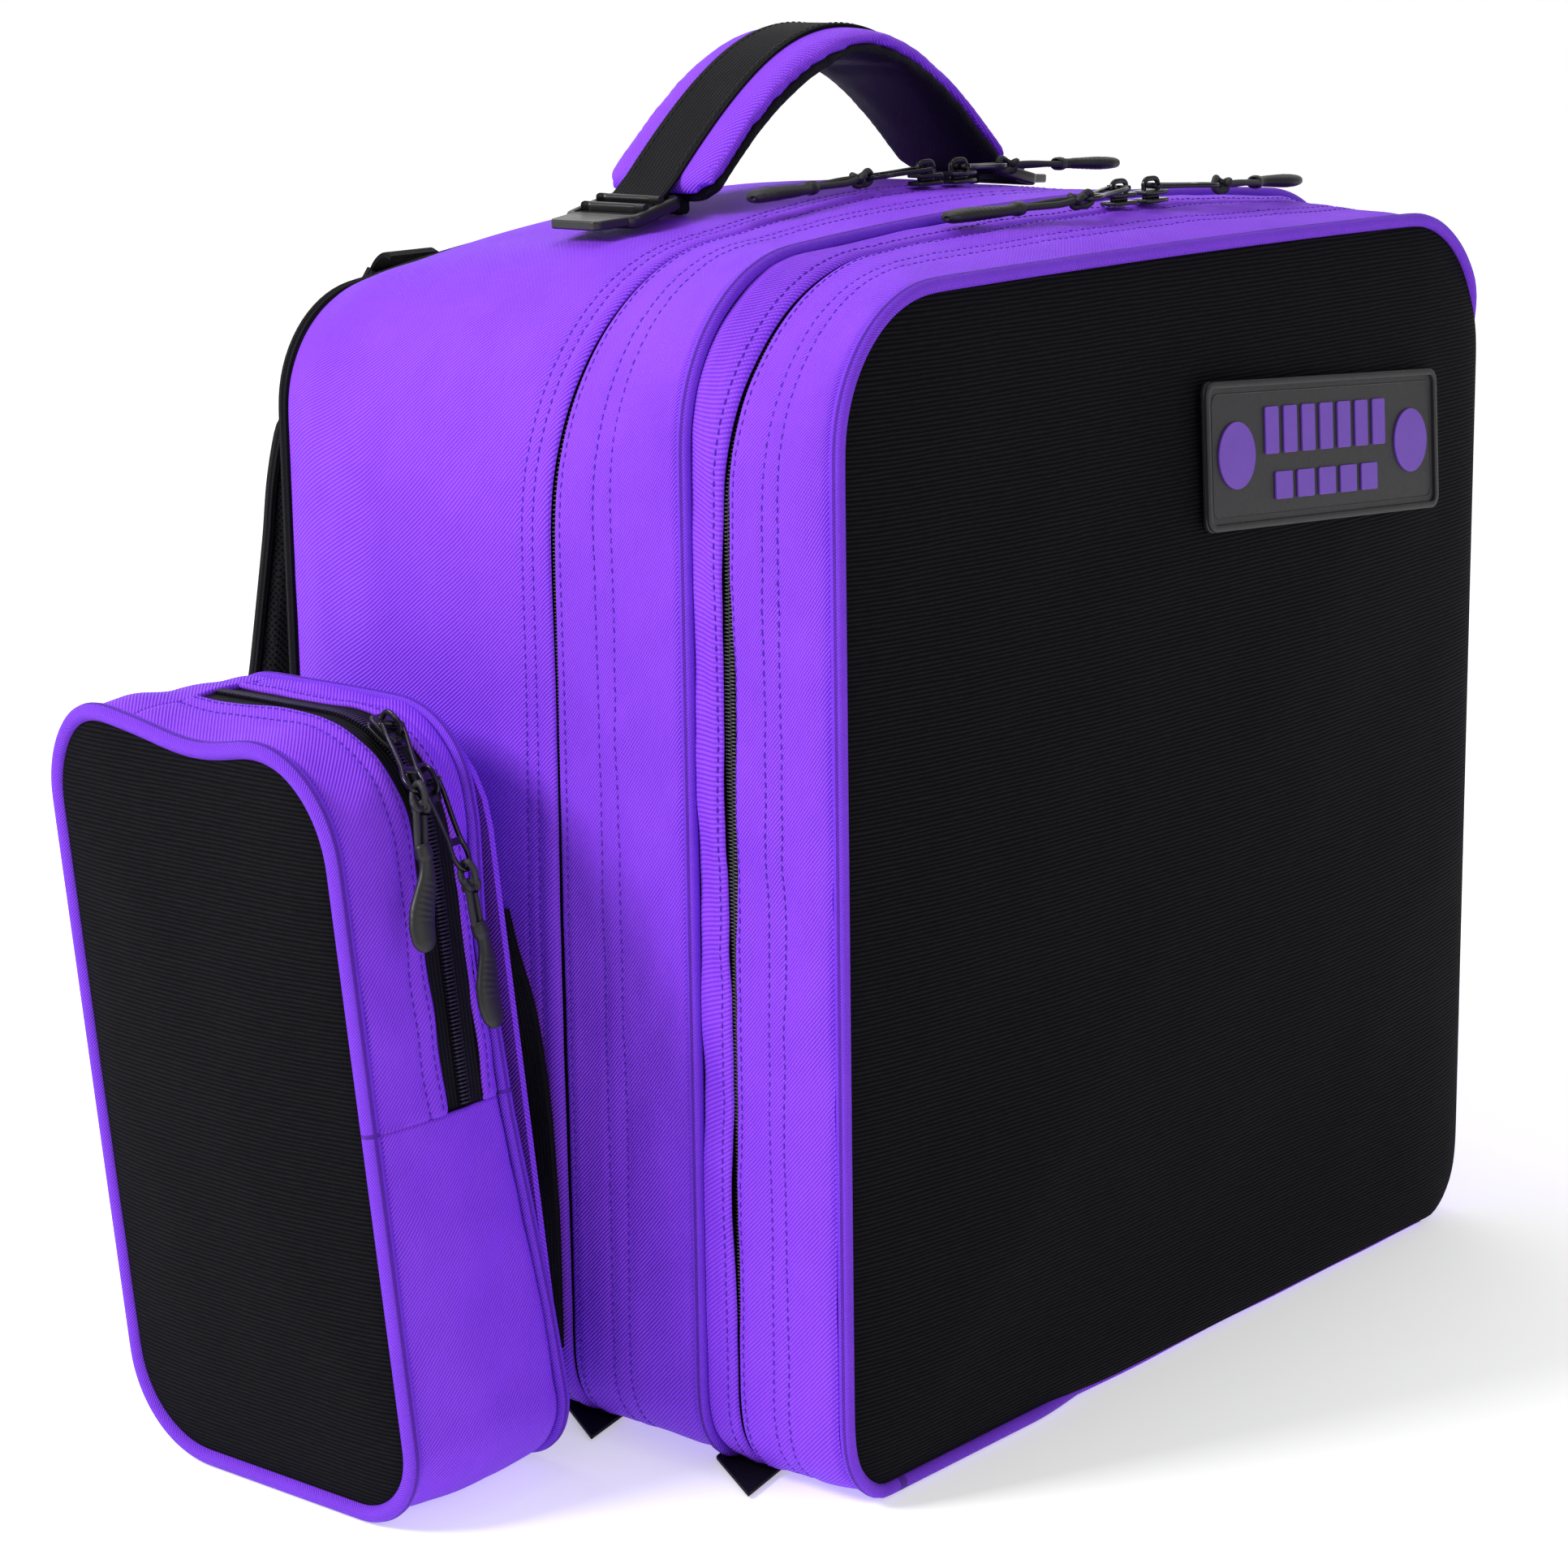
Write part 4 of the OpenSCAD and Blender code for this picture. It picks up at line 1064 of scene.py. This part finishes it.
def box_uv(obj):
    """UVs in millimetres, seen along each face's own main direction."""
    mesh = obj.data
    layer = mesh.uv_layers.new(name="UVMap") if not mesh.uv_layers else mesh.uv_layers[0]
    count = len(mesh.loops)
    points = coords_of(mesh) / MM
    vertex = np.zeros(count, np.int32)
    mesh.loops.foreach_get("vertex_index", vertex)
    normals = np.zeros(len(mesh.polygons) * 3, np.float32)
    mesh.polygons.foreach_get("normal", normals)
    sizes = np.zeros(len(mesh.polygons), np.int32)
    mesh.polygons.foreach_get("loop_total", sizes)
    axis = np.repeat(np.abs(normals.reshape(-1, 3)).argmax(1), sizes)
    at = points[vertex]
    u = np.where(axis == 0, at[:, 1], at[:, 0])
    v = np.where(axis == 2, at[:, 1], at[:, 2])
    layer.data.foreach_set("uv", np.stack([u, v], 1).astype(np.float32).ravel())


def dressed(node, material, slot, body="bag_body"):
    """A node's own shape with a cloth on it."""
    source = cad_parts[node]
    mesh = source.data.copy()
    mesh.transform(source.matrix_world)
    mesh.materials.clear()
    mesh.materials.append(material)
    mesh.polygons.foreach_set("use_smooth", [False] * len(mesh.polygons))
    mesh.polygons.foreach_set("material_index", [0] * len(mesh.polygons))
    obj = added(node + "_skin", mesh)
    box_uv(obj)
    as_piece(obj, slot, body, node)
    return obj


def dress_nodes():
    dressed("pocket_back_panel", M["purple"], "purple_fabric")
    dressed("divider_panel", M["lining"], "lining", "mid_section")
    dressed("front_stiffener", M["foam"], "lining", "front_cover")
    for node in ("strap_yoke", "pocket_mounts", "handle_anchors", "strap_base_tabs"):
        sewn_webbing(node)


def sewn_webbing(node):
    """Soft strips in place of a node's separate blocks, with a box of stitches on each broad face."""
    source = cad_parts[node]
    points = coords_of(source.data).astype(float)
    shift = np.array([MID_X, SEAM_Y, 0.0])
    points = (points - shift) / MM
    groups = [points]
    for axis in (0, 2):
        split = []
        for group in groups:
            order = np.sort(np.unique(group[:, axis].round(2)))
            gaps = np.diff(order)
            if len(gaps) and gaps.max() > 25 and node != "strap_yoke":
                middle = order[gaps.argmax()] + gaps.max() / 2
                split += [group[group[:, axis] < middle], group[group[:, axis] >= middle]]
            else:
                split.append(group)
        groups = [g for g in split if len(g)]
    parts = []
    for group in groups:
        lo, hi = group.min(0), group.max(0)
        size, centre = hi - lo, (hi + lo) / 2
        thin = int(size.argmin())
        u, v = [k for k in range(3) if k != thin]
        corners = rounded_rect(size[u] - 0.6, size[v] - 0.6, min(1.5, size[u] / 4), 5)
        half = size[thin] / 2
        layers = []
        for lift, inset in ((-half, 0.5), (-half * 0.6, 0.0), (half * 0.6, 0.0), (half, 0.5)):
            ring = np.zeros((len(corners), 3))
            ring[:, u] = corners[:, 0] * (1 - 2 * inset / size[u])
            ring[:, v] = corners[:, 1] * (1 - 2 * inset / size[v])
            ring[:, thin] = lift
            layers.append(ring + centre)
        flat = np.array(layers).reshape(-1, 3)
        n = len(corners)
        faces = grid_faces(4, n, wrap_columns=True)
        faces += [tuple(range(n)), tuple(range(4 * n - 1, 3 * n - 1, -1))]
        parts.append(new_object("part", flat, faces, M["webbing"]))
        for sign in (-1, 1):
            if min(size[u], size[v]) <= 9:
                continue
            inner = rounded_rect(size[u] - 6, size[v] - 6, 0.6, 3)
            line = np.zeros((len(inner) + 1, 3))
            line[:, u], line[:, v] = np.append(inner[:, 0], inner[0, 0]), np.append(inner[:, 1], inner[0, 1])
            line[:, thin] = sign * half
            normal = np.zeros_like(line)
            normal[:, thin] = sign
            parts.append(stitches("part", [(line + centre, normal)], M["black_thread"], r=0.3))
    piece = joined(node + "_skin", parts)
    fix = piece.modifiers.new("tri", "TRIANGULATE")
    fix.quad_method = "BEAUTY"
    settle(piece)
    box_uv(piece)
    as_piece(piece, "black_webbing", "bag_body", node)


def loop_of(section, shape, material):
    """A closed bar with a rounded section, following a flat outline."""
    line = np.column_stack([shape, np.zeros(len(shape))])
    return swept("part", line, lambda k: rounded_rect(*section, min(section) * 0.3, 4), (0, 0, 1), material,
                 closed=True)


def cross_bar(x, half, section, material, lift=0.0):
    line = np.array([(x, y, lift) for y in np.linspace(-half, half, 7)])
    return swept("part", line, lambda k: rounded_rect(*section, min(section) * 0.35, 4), (0, 0, 1), material)


def build_buckles():
    """A wedge on each shoulder with a raised loop that the handle's webbing turns round."""
    parts = []
    for side in (-1, 1):
        x0, x1 = 94.0, 132.0
        z0, z1 = (float(surface_height(x, HANDLE_Y)) for x in (x0, x1))
        drop = math.degrees(math.atan((z0 - z1) / (x1 - x0)))
        wedge = np.array([(12, -16.5), (15, -17), (38, -12), (40, -10),
                          (40, 10), (38, 12), (15, 17), (12, 16.5)])
        plate = prism("part", wedge, 0.0, 3.4, M["plastic"], 0.8, 3)
        frame_bar = loop_of((3.2, 4.6), rounded_rect(24, 32, 3, 6) + [13, 0], M["plastic"])
        bars = [cross_bar(x, 15, (3.2, 3.6), M["plastic"], lift) for x, lift in ((8.5, 2.6), (17.0, 2.2))]
        loop_lift = Matrix.Translation((0, 0, 5.2)) @ turned(y=9)
        whole = joined("part", [moved(bar, loop_lift) for bar in [frame_bar] + bars] + [plate])
        facing = turned(z=0 if side > 0 else 180)
        place = Matrix.Translation((side * x0, HANDLE_Y, z0 + 2.2)) @ facing @ turned(y=drop)
        parts.append(moved(whole, place))
    buckles = joined("handle_buckles_skin", parts)
    as_piece(buckles, "buckle_plastic", "bag_body", "handle_buckles")
    for side, word in ((-1, "left"), (1, "right")):
        ladder = [loop_of((3.6, 4.8), rounded_rect(30, 14.5, 2, 6)[:, ::-1], M["plastic"]),
                  cross_bar(0, 14, (3.4, 4.0), M["plastic"])]
        upright = turned(x=24) @ turned(x=90) @ turned(z=90)
        place = Matrix.Translation((side * STRAP_X, STRAP_Y + 34, 104)) @ upright
        ladder = moved(joined(word + "_adjuster_skin", ladder), place)
        as_piece(ladder, "buckle_plastic", word + "_strap", word + "_strap_adjuster")


def strap(name, path, up, node, body, n=60):
    """Webbing along a smooth path."""
    line = smooth_curve(path, n)
    piece = swept(name, line, lambda k: strap_section(WEBBING, STRAP_THICK), up, M["webbing"])
    if node:
        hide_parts(node)
    if body:
        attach(piece, body)
    return piece


def build_floor_tabs():
    """Ends of webbing, cut at 45 degrees, that lie on the floor and run in under the base."""
    parts = []
    for x, y in ((-208, 35.5), (-204, 112.0)):
        end = prism("part", [(0, 0), (30, 0), (30, WEBBING), (WEBBING, WEBBING)], 0.2, 1.8, M["webbing"], 0.4)
        parts.append(moved(end, Matrix.Translation((x, y, 0.1)) @ turned(z=14)))
    tabs = joined("base_tabs_skin", parts)
    box_uv(tabs)
    as_piece(tabs, "black_webbing", "bag_body", "base_tabs")


def build_webbing():
    build_floor_tabs()
    lo, hi = local_box("side_webbing")
    x = (lo[0] + hi[0]) / 2 - 0.8
    curve = ((157, 186), (153, 172), (145, 150), (140, 120), (138, 95), (137, 72), (137, 32))
    strap("side_webbing_skin", [[x, y, z] for y, z in curve], (-1, 0, 0), "side_webbing", "bag_body")


# ---------------------------------------------------------------- stuffed pads


SIM_FRAMES = 20


def stuffed(obj, material, voxel=4.5, most=1.6):
    """Fills a closed pad in a short cloth simulation. No point moves further than most, in mm."""
    made = obj.modifiers.new("even", "REMESH")
    made.mode, made.voxel_size = "VOXEL", voxel * MM
    settle(obj)
    before = coords_of(obj.data)
    cloth = obj.modifiers.new("cloth", "CLOTH")
    settings = cloth.settings
    settings.quality, settings.mass = 6, 0.25
    settings.tension_stiffness = settings.compression_stiffness = 12
    settings.shear_stiffness, settings.bending_stiffness = 4, 1.5
    settings.shrink_min = -0.03
    settings.use_pressure, settings.uniform_pressure_force = True, 4.0
    settings.effector_weights.gravity = 0
    cloth.collision_settings.use_collision = False
    cloth.point_cache.frame_start, cloth.point_cache.frame_end = 1, SIM_FRAMES
    scene = bpy.context.scene
    for number in range(1, SIM_FRAMES + 1):
        scene.frame_set(number)
    view = bpy.context.evaluated_depsgraph_get()
    after = coords_of(obj.evaluated_get(view).data)
    obj.modifiers.clear()
    scene.frame_set(1)
    moved_by = after - before
    moved_by -= moved_by.mean(0)
    size = np.linalg.norm(moved_by, axis=1, keepdims=True)
    cap = most * MM
    after = before + moved_by / np.maximum(size, 1e-9) * cap * np.tanh(size / cap)
    obj.data.vertices.foreach_set("co", after.astype(np.float32).ravel())
    obj.data.polygons.foreach_set("use_smooth", [True] * len(obj.data.polygons))
    fine = obj.modifiers.new("fine", "SUBSURF")
    fine.levels = fine.render_levels = 1
    settle(obj)
    obj.data.materials.clear()
    obj.data.materials.append(material)
    box_uv(obj)
    return obj


# ---------------------------------------------------------------- handle


CREST = float(top_z(HANDLE_Y))
PAD_THICK, PAD_W = 11.5, 52.0
ARCH_HALF, ARCH_RISE = 95.0, 57.0


def handle_point(x, lift):
    a = math.radians(90 * x / ARCH_HALF)
    slope = -ARCH_RISE * math.pi / 2 / ARCH_HALF * math.sin(a)
    normal = unit([-slope, 1])
    height = CREST - PAD_THICK / 2 + ARCH_RISE * math.cos(a)
    return [x + normal[0] * lift, HANDLE_Y, height + normal[1] * lift]


def half_pad(width, thick, side):
    """Upper or lower half of a soft pad's section, as (across, out) pairs."""
    a = np.linspace(0, math.pi, 25)
    x = width / 2 * np.sign(np.cos(a)) * np.abs(np.cos(a)) ** 0.45
    z = thick / 2 * np.sin(a) ** 0.55
    edge = np.stack([x, side * z], 1)
    return edge if side > 0 else edge[::-1]


def build_handle():
    xs = [89 * math.sin(math.pi / 2 * t) for t in np.linspace(-1, 1, 61)]
    path = [handle_point(x, 0) for x in xs]

    def size(k):
        end = min(k, 1 - k)
        return min(PAD_W, 35 + 160 * end), min(PAD_THICK, 6 + 60 * end)
    parts = []
    for name, side, material in (("handle_pad_top", 1, "purple"), ("handle_pad_under", -1, "lining")):
        piece = swept(name, path, lambda k: half_pad(*size(k), side), (0, 0, 1), M[material])
        stuffed(piece, M[material], voxel=3.0, most=0.8)
        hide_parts("handle_pad")
        parts.append(piece)
    ends = []
    for side in (-1, 1):
        ground = float(surface_height(side * 100, HANDLE_Y))
        ends.append([[side * 99, HANDLE_Y, ground + 10.0],
                     [side * 106, HANDLE_Y, ground + 6.5], [side * 112, HANDLE_Y, ground + 4.0]])
    middle = [handle_point(x, PAD_THICK / 2 + 1.0) for x in np.linspace(-87, 87, 25)]
    line = smooth_curve(ends[0][::-1] + middle + ends[1], 140)
    belt = swept("handle_webbing_skin", line, lambda k: strap_section(WEBBING, 1.7), (0, 0, 1), M["webbing"])
    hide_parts("handle_webbing")
    parts.append(belt)
    rows = []
    _, across, out = frames_along(line, (0, 0, 1))
    for side in (-1, 1):
        rows.append(((line + across * side * (WEBBING / 2 - 2.2) + out * 0.95)[14:-14], out[14:-14]))
    sewn = stitches("handle_stitches", rows, M["black_thread"], r=0.3)
    parts.append(sewn)
    for piece in parts:
        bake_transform(piece)


# ---------------------------------------------------------------- shoulder straps


# Side view of a strap's middle line: distance behind the swing line, and height
STRAP_CURVE = ((3, 398), (9, 385), (20, 364), (32, 342), (39, 320), (43, 297), (48, 272), (53, 248),
               (58, 225), (60, 200), (57, 170), (49, 142), (38, 118))
STRAP_X, STRAP_Y, STRAP_W, STRAP_T = 116.0, DEPTH + 15, 68.0, 13.0


def build_straps():
    yoke, tab = (local_box(node)[1][1] - STRAP_Y for node in ("strap_yoke", "strap_base_tabs"))
    for side, word in ((-1, "left"), (1, "right")):
        body = word + "_strap"

        def placed(curve):
            return [[side * STRAP_X, STRAP_Y + y, z] for y, z in curve]
        line = smooth_curve(placed(STRAP_CURVE), 90)

        def size(k):
            return (min(STRAP_W, WEBBING + 190 * k, 34 + 260 * (1 - k)),
                    min(STRAP_T, 6 + 90 * k, 7 + 60 * (1 - k)))
        shares = np.linspace(0, 1, len(line))
        pad = swept(word + "_pad_skin", line, lambda k: soft_section(*size(k), 40, 0.5, 0.7), (0, 1, 0),
                    M["mesh"])
        stuffed(pad, M["mesh"])
        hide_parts(word + "_strap_pad")
        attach(pad, body)
        rims = []
        _, across, out = frames_along(line, (0, 1, 0))
        for edge in (-1, 1):
            reach = np.array([size(k)[0] / 2 - 0.6 for k in shares])
            rims.append(swept(word + "_rim", line + across * (edge * reach)[:, None],
                              lambda k: circle(1.9, 8) * [1.0, 1.4], (0, 1, 0), M["webbing"]))
        rim = joined(word + "_pad_binding", rims)
        as_piece(rim, "black_webbing", body)
        rise = np.array([size(k)[1] / 2 + 2.0 for k in shares])
        face = (line + out * rise[:, None])[20:]
        belt = swept(word + "_webbing_skin", face, lambda k: strap_section(WEBBING, STRAP_THICK), (0, 1, 0),
                     M["webbing"])
        as_piece(belt, "black_webbing", body, word + "_strap_webbing")
        strap(word + "_tail_skin", placed(((29, 92), (22, 78), (11, 58), (4, 48))), (0, 1, 0),
              word + "_strap_tail", body)
        sewn_end(word + "_root_skin", placed(((yoke - 0.8, 403), (-3, 404), (3, 399), (9, 386))),
                 (0, 0.6, 0.8))
        sewn_end(word + "_foot_skin", placed(((tab - 0.8, 34), (tab + 3, 40), (2, 46), (8, 54))),
                 (0, 1, -0.2))


def sewn_end(name, path, up):
    """Webbing that joins a strap's end to the back and bends between the two."""
    piece = strap(name, path, up, None, None, n=24)
    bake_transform(piece)


# ---------------------------------------------------------------- back


def build_back():
    lo, hi = local_box("back_panel")
    inner = closed_outline(DEPTH, EDGE + 0.5)
    inner[:, 1] = lo[1] + 2.4
    room = hi[1] - inner[0, 1] - 2.0

    def quilt(points, share):
        x, z = points[..., 0], points[..., 2]
        grooves = sum(np.exp(-((x - at) / 4.0) ** 2) for at in (-66, 66))
        grooves = grooves + sum(np.exp(-((z - at) / 4.0) ** 2) for at in (120, 250))
        inside = np.clip((1 - share) * 5, 0, 1)
        return -np.minimum(grooves, 1) * min(room, 5.0) * 0.6 * inside
    panel = crowned_panel("back_panel_skin", inner, (0, 1, 0), max(room - 2.0, 0.5), M["mesh"], (0, 2),
                          quilt, power=0.5)
    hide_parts("back_panel")
    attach(panel, "bag_body")
    binding = swept("back_binding_skin", closed_outline(DEPTH, 1.2), lambda k: circle(2.6, 12), (0, 1, 0),
                    M["webbing"], closed=True)
    as_piece(binding, "black_webbing", "bag_body", "back_binding")


# ---------------------------------------------------------------- patch


PATCH_W, PATCH_H = 162, 53


def build_patch():
    place = (Matrix.Translation((68, -12.1, 332)) @ turned(x=85, z=1.5) @ turned(z=-4))
    plate = prism("patch_plate", rounded_rect(PATCH_W, PATCH_H, 4), 0, 1.6, M["patch"], 0.5)
    rims = []
    for inset, width, height in ((1.3, 2.4, 1.15), (4.6, 0.7, 0.35)):
        outline_2d = rounded_rect(PATCH_W - 2 * inset, PATCH_H - 2 * inset, 4, 8)
        line = np.column_stack([outline_2d, np.full(len(outline_2d), 1.5)])
        rims.append(swept("rim", line, lambda k: rounded_rect(width, 2 * height, 0.3, 3)[::-1], (0, 0, 1),
                          M["patch"], closed=True))
    plate = moved(joined("patch_skin", [plate] + rims), place)
    as_piece(plate, "patch_rubber", "front_cover", "emblem_patch")
    shapes = [circle(12, 40) + [side * 61, 0] for side in (-1, 1)]
    shapes += [rounded_rect(9, 17, 0.8) + [12.5 * i, 8] for i in range(-3, 4)]
    shapes += [rounded_rect(11.5, 10, 0.8) + [15 * i, -12] for i in range(-2, 3)]
    marks = [prism("mark", shape, 1.4, 2.35, M["patch_motif"], 0.25) for shape in shapes]
    motif = moved(joined("patch_marks", marks), place)
    as_piece(motif, "purple_fabric", "front_cover", "emblem_motif")


# ---------------------------------------------------------------- zip sliders, pull tabs, cords and grips


TAB_LEN = 33.0
GRIP_LEN = 35.4
HINGE_LIFT = 6.0


def make_slider(name, place, body):
    plate = [(-7, -3.0), (-5, -4.4), (2.5, -4.4), (7, -3.4), (7, 3.4), (2.5, 4.4), (-5, 4.4), (-7, 3.0)]
    bottom = prism("part", plate, 0.0, 1.5, M["metal"], 0.5, 3)
    top = prism("part", plate, 2.9, 4.5, M["metal"], 0.6, 3)
    core = prism("part", rounded_rect(8, 3, 1), 1.4, 3.0, M["metal"], 0)
    arch = smooth_curve([(-4.4, 0, 4.2), (-4.2, 0, 7.2), (-2.6, 0, 8.4), (0, 0, 8.6), (2.6, 0, 8.4),
                         (4.2, 0, 7.2), (4.4, 0, 4.2)], 30)
    bridge = swept("part", arch, lambda k: rounded_rect(1.9, 1.3, 0.4, 4), (0, 1, 0), M["metal"])
    slider = moved(joined(name + "_slider_skin", [bottom, top, core, bridge]), place)
    as_piece(slider, "pull_metal", body, name + "_slider")


def make_tab(name, place, body):
    """A long metal loop with a cross bar near its far end."""
    xs = (0.9, 6, 14, 21, 26.5, 30.2, 31.6)
    half = (3.7, 3.7, 3.1, 2.9, 3.5, 2.5, 1.2)
    upper = [(x, w, 0) for x, w in zip(xs, half)]
    lower = [(x, -w, 0) for x, w in zip(xs, half)][::-1]
    line = smooth_curve(upper + [(32.1, 0, 0)] + lower, 90)
    loop = swept("part", line, lambda k: rounded_rect(1.55, 1.7, 0.55, 4), (0, 0, 1), M["metal"])
    hinge = swept("part", np.array([(0.2, y, 0) for y in np.linspace(-4.3, 4.3, 9)]),
                  lambda k: circle(1.15, 14), (0, 0, 1), M["metal"])
    bar = swept("part", np.array([(22.0, y, 0) for y in np.linspace(-3.0, 3.0, 5)]),
                lambda k: rounded_rect(2.6, 1.5, 0.5, 4), (0, 0, 1), M["metal"])
    tab = moved(joined(name + "_tab_skin", [loop, hinge, bar]), place)
    as_piece(tab, "pull_metal", body, name + "_tab")


def make_cord(name, place, run, body):
    """A cord loop through the eye of the tab, knotted behind it, with a moulded grip on its end."""
    end = run + 5.0
    line = smooth_curve([(4.5, 1.4, 0.3), (2.4, 1.3, 1.7), (-0.6, 0.7, 2.5), (-2.9, 0.1, 1.5), (-3.4, 0, 0),
                         (-2.9, -0.1, -1.5), (-0.6, -0.7, -2.5), (2.4, -1.3, -1.7), (5.0, -1.5, 0),
                         (run * 0.5, -1.6, 0.4), (run, -1.4, 0), (end - 1.2, -1.2, 0), (end, 0, 0),
                         (end - 1.2, 1.2, 0), (run, 1.4, 0), (run * 0.5, 1.7, -0.4), (7.0, 1.5, 0.2)], 150)
    world = SHIFT @ place
    points = [world @ Vector(p) for p in line]
    curve = bpy.data.curves.new(name + "_cord", "CURVE")
    curve.dimensions, curve.bevel_depth, curve.bevel_resolution = "3D", 1.2 * MM, 4
    spline = curve.splines.new("POLY")
    spline.points.add(len(points) - 1)
    for target, p in zip(spline.points, points):
        target.co = (*p, 1)
    spline.use_smooth = True
    curve.materials.append(M["cord"])
    cord = added(name + "_cord", curve)
    a = np.linspace(0, math.tau, 60, endpoint=False)
    trefoil = np.stack([np.sin(3 * a) * 1.3, np.sin(a) * 1.3 + 1.9 * np.sin(2 * a),
                        np.cos(a) * 1.2 - 1.7 * np.cos(2 * a)], 1)
    knot = swept(name + "_knot", trefoil * [1.0, 0.95, 0.85] + [4.2, 0, 0], lambda k: circle(1.15, 8),
                 (1, 0, 0), M["cord"], closed=True)
    moved(knot, place)
    # Distance along the grip, its width and its thickness
    table = ((0, 4.4, 4.0), (0.8, 5.6, 5.0), (4.0, 6.2, 5.2), (5.4, 4.6, 4.0), (9, 5.4, 3.8), (15, 7.4, 4.2),
             (22, 9.0, 4.8), (28, 9.3, 4.9), (32.5, 8.4, 4.4), (34.6, 5.6, 3.2), (GRIP_LEN, 2.4, 1.6))
    table = np.array(table)
    ks = np.linspace(0, GRIP_LEN, 70)
    waves = np.where((ks > 12) & (ks < 26), 0.28 * np.sin((ks - 12) * math.tau / 2.0), 0.0)
    sizes = sampled(ks, table[:, 0], table[:, 1:])
    sizes[:, 1] += waves
    bow = 1.5 * np.sin(ks / GRIP_LEN * math.tau)
    path = np.stack([1.2 + run + 1.5 + ks, bow, 0 * ks], 1)
    grip = swept(name + "_grip_skin", path,
                 lambda k: soft_section(*sizes[int(round(k * 69))], 24, 1.0, 0.8), (0, 0, 1), M["rubber"])
    moved(grip, place)
    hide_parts(name + "_grip")
    for piece, slot in ((cord, "black_webbing"), (knot, "black_webbing"), (grip, "grip_rubber")):
        as_piece(piece, slot, body)


def build_pulls():
    pulls = []
    for name, turn, yaw, bend in (("front_left", 180, 14, -24), ("front_right", 0, -14, 22),
                                  ("main_left", 180, -4, 6), ("main_right", 0, 6, -10)):
        lo, hi = local_box(name + "_slider")
        base = Matrix.Translation(((lo[0] + hi[0]) / 2, (lo[1] + hi[1]) / 2, lo[2])) @ turned(z=turn)
        pulls.append((name, base, yaw, 2.5, bend, 0, 28.0))
    half = math.radians(90 + math.degrees(math.atan(POCKET_LEAN / POCKET_H))) / 2
    bend_y = POCKET_Y + POCKET_LEAN + POCKET_RADII[3] / math.tan(half)
    bend_z = POCKET_TOP - POCKET_RADII[3]
    r = POCKET_RADII[3] + 2.2
    for name, angle, yaw, droop, bend, dip in (("pocket_top", 122, -22, 5, 4, 36),
                                                ("pocket_front", 148, 2, 5, -6, 10)):
        a = math.radians(angle)
        base = (Matrix.Translation((ZIP_X, bend_y + r * math.cos(a), bend_z + r * math.sin(a)))
                @ turned(z=-90) @ turned(y=angle - 90))
        pulls.append((name, base, yaw, droop, bend, dip, 14.0))
    for name, base, yaw, droop, bend, dip, run in pulls:
        make_slider(name, base, name + "_slider")
        tab = base @ Matrix.Translation((0, 0, HINGE_LIFT)) @ turned(z=yaw) @ turned(y=droop)
        make_tab(name, tab, name + "_pull")
        eye = tab @ Matrix.Translation((TAB_LEN, 0, 0)) @ turned(y=dip, z=bend)
        make_cord(name, eye, run, name + "_pull")


build_pulls()
build_shell()
base_skin()
build_front()
build_pocket()
dress_nodes()
build_buckles()
build_webbing()
build_handle()
build_straps()
build_back()
build_patch()

# ---------------------------------------------------------------- floor and light


def build_stage():
    """A pale floor that turns up into a wall, and three soft lamps."""
    s = Shader("pale_floor", Roughness=0.9, Specular_IOR_Level=0.0, Emission_Strength=0.42)
    s.main.inputs["Emission Color"].default_value = (1, 1, 1, 1)
    s.colour(s.mix(s.noise(s.coords("Object"), 3.0), rgb(0.90, 0.90, 0.90), rgb(0.92, 0.92, 0.92)))
    a = np.linspace(0, math.pi / 2, 12)
    profile = [(-5.0, 0.0), (3.0, 0.0)] + [(3.0 + 1.5 * math.sin(i), 1.5 - 1.5 * math.cos(i)) for i in a[1:]]
    profile += [(4.5, 6.0)]
    turn = math.radians(VIEW_AZIMUTH)
    across = Vector((math.cos(turn), math.sin(turn), 0))
    away = Vector((-across.y, across.x, 0))
    points = [tuple(across * side + away * d + Vector((0, 0, z - 0.0005)))
              for d, z in profile for side in (-6, 6)]
    faces = [(2 * i, 2 * i + 1, 2 * i + 3, 2 * i + 2) for i in range(len(profile) - 1)]
    mesh = bpy.data.meshes.new("floor")
    mesh.from_pydata(points, [], faces)
    mesh.polygons.foreach_set("use_smooth", [True] * len(faces))
    mesh.materials.append(s.material)
    added("floor", mesh)
    world = bpy.data.worlds.new("studio")
    world.use_nodes = True
    world.node_tree.nodes["Background"].inputs["Color"].default_value = (1, 1, 1, 1)
    world.node_tree.nodes["Background"].inputs["Strength"].default_value = 0.34
    bpy.context.scene.world = world
    for name, place, size, power in (("key", (-1.9, 1.0, 1.8), 0.8, 60),
                                     ("front", (-0.6, -2.4, 1.3), 1.6, 12),
                                     ("top", (0.2, 0.4, 2.6), 1.2, 14)):
        data = bpy.data.lights.new(name, "AREA")
        data.size, data.energy = size, power
        light = added(name, data)
        light.location = place
        light.rotation_euler = (Vector((0, 0, 0.2)) - Vector(place)).to_track_quat("-Z", "Y").to_euler()
    bpy.context.scene.view_settings.view_transform = "Standard"
    bpy.context.scene.view_settings.look = "None"


build_stage()
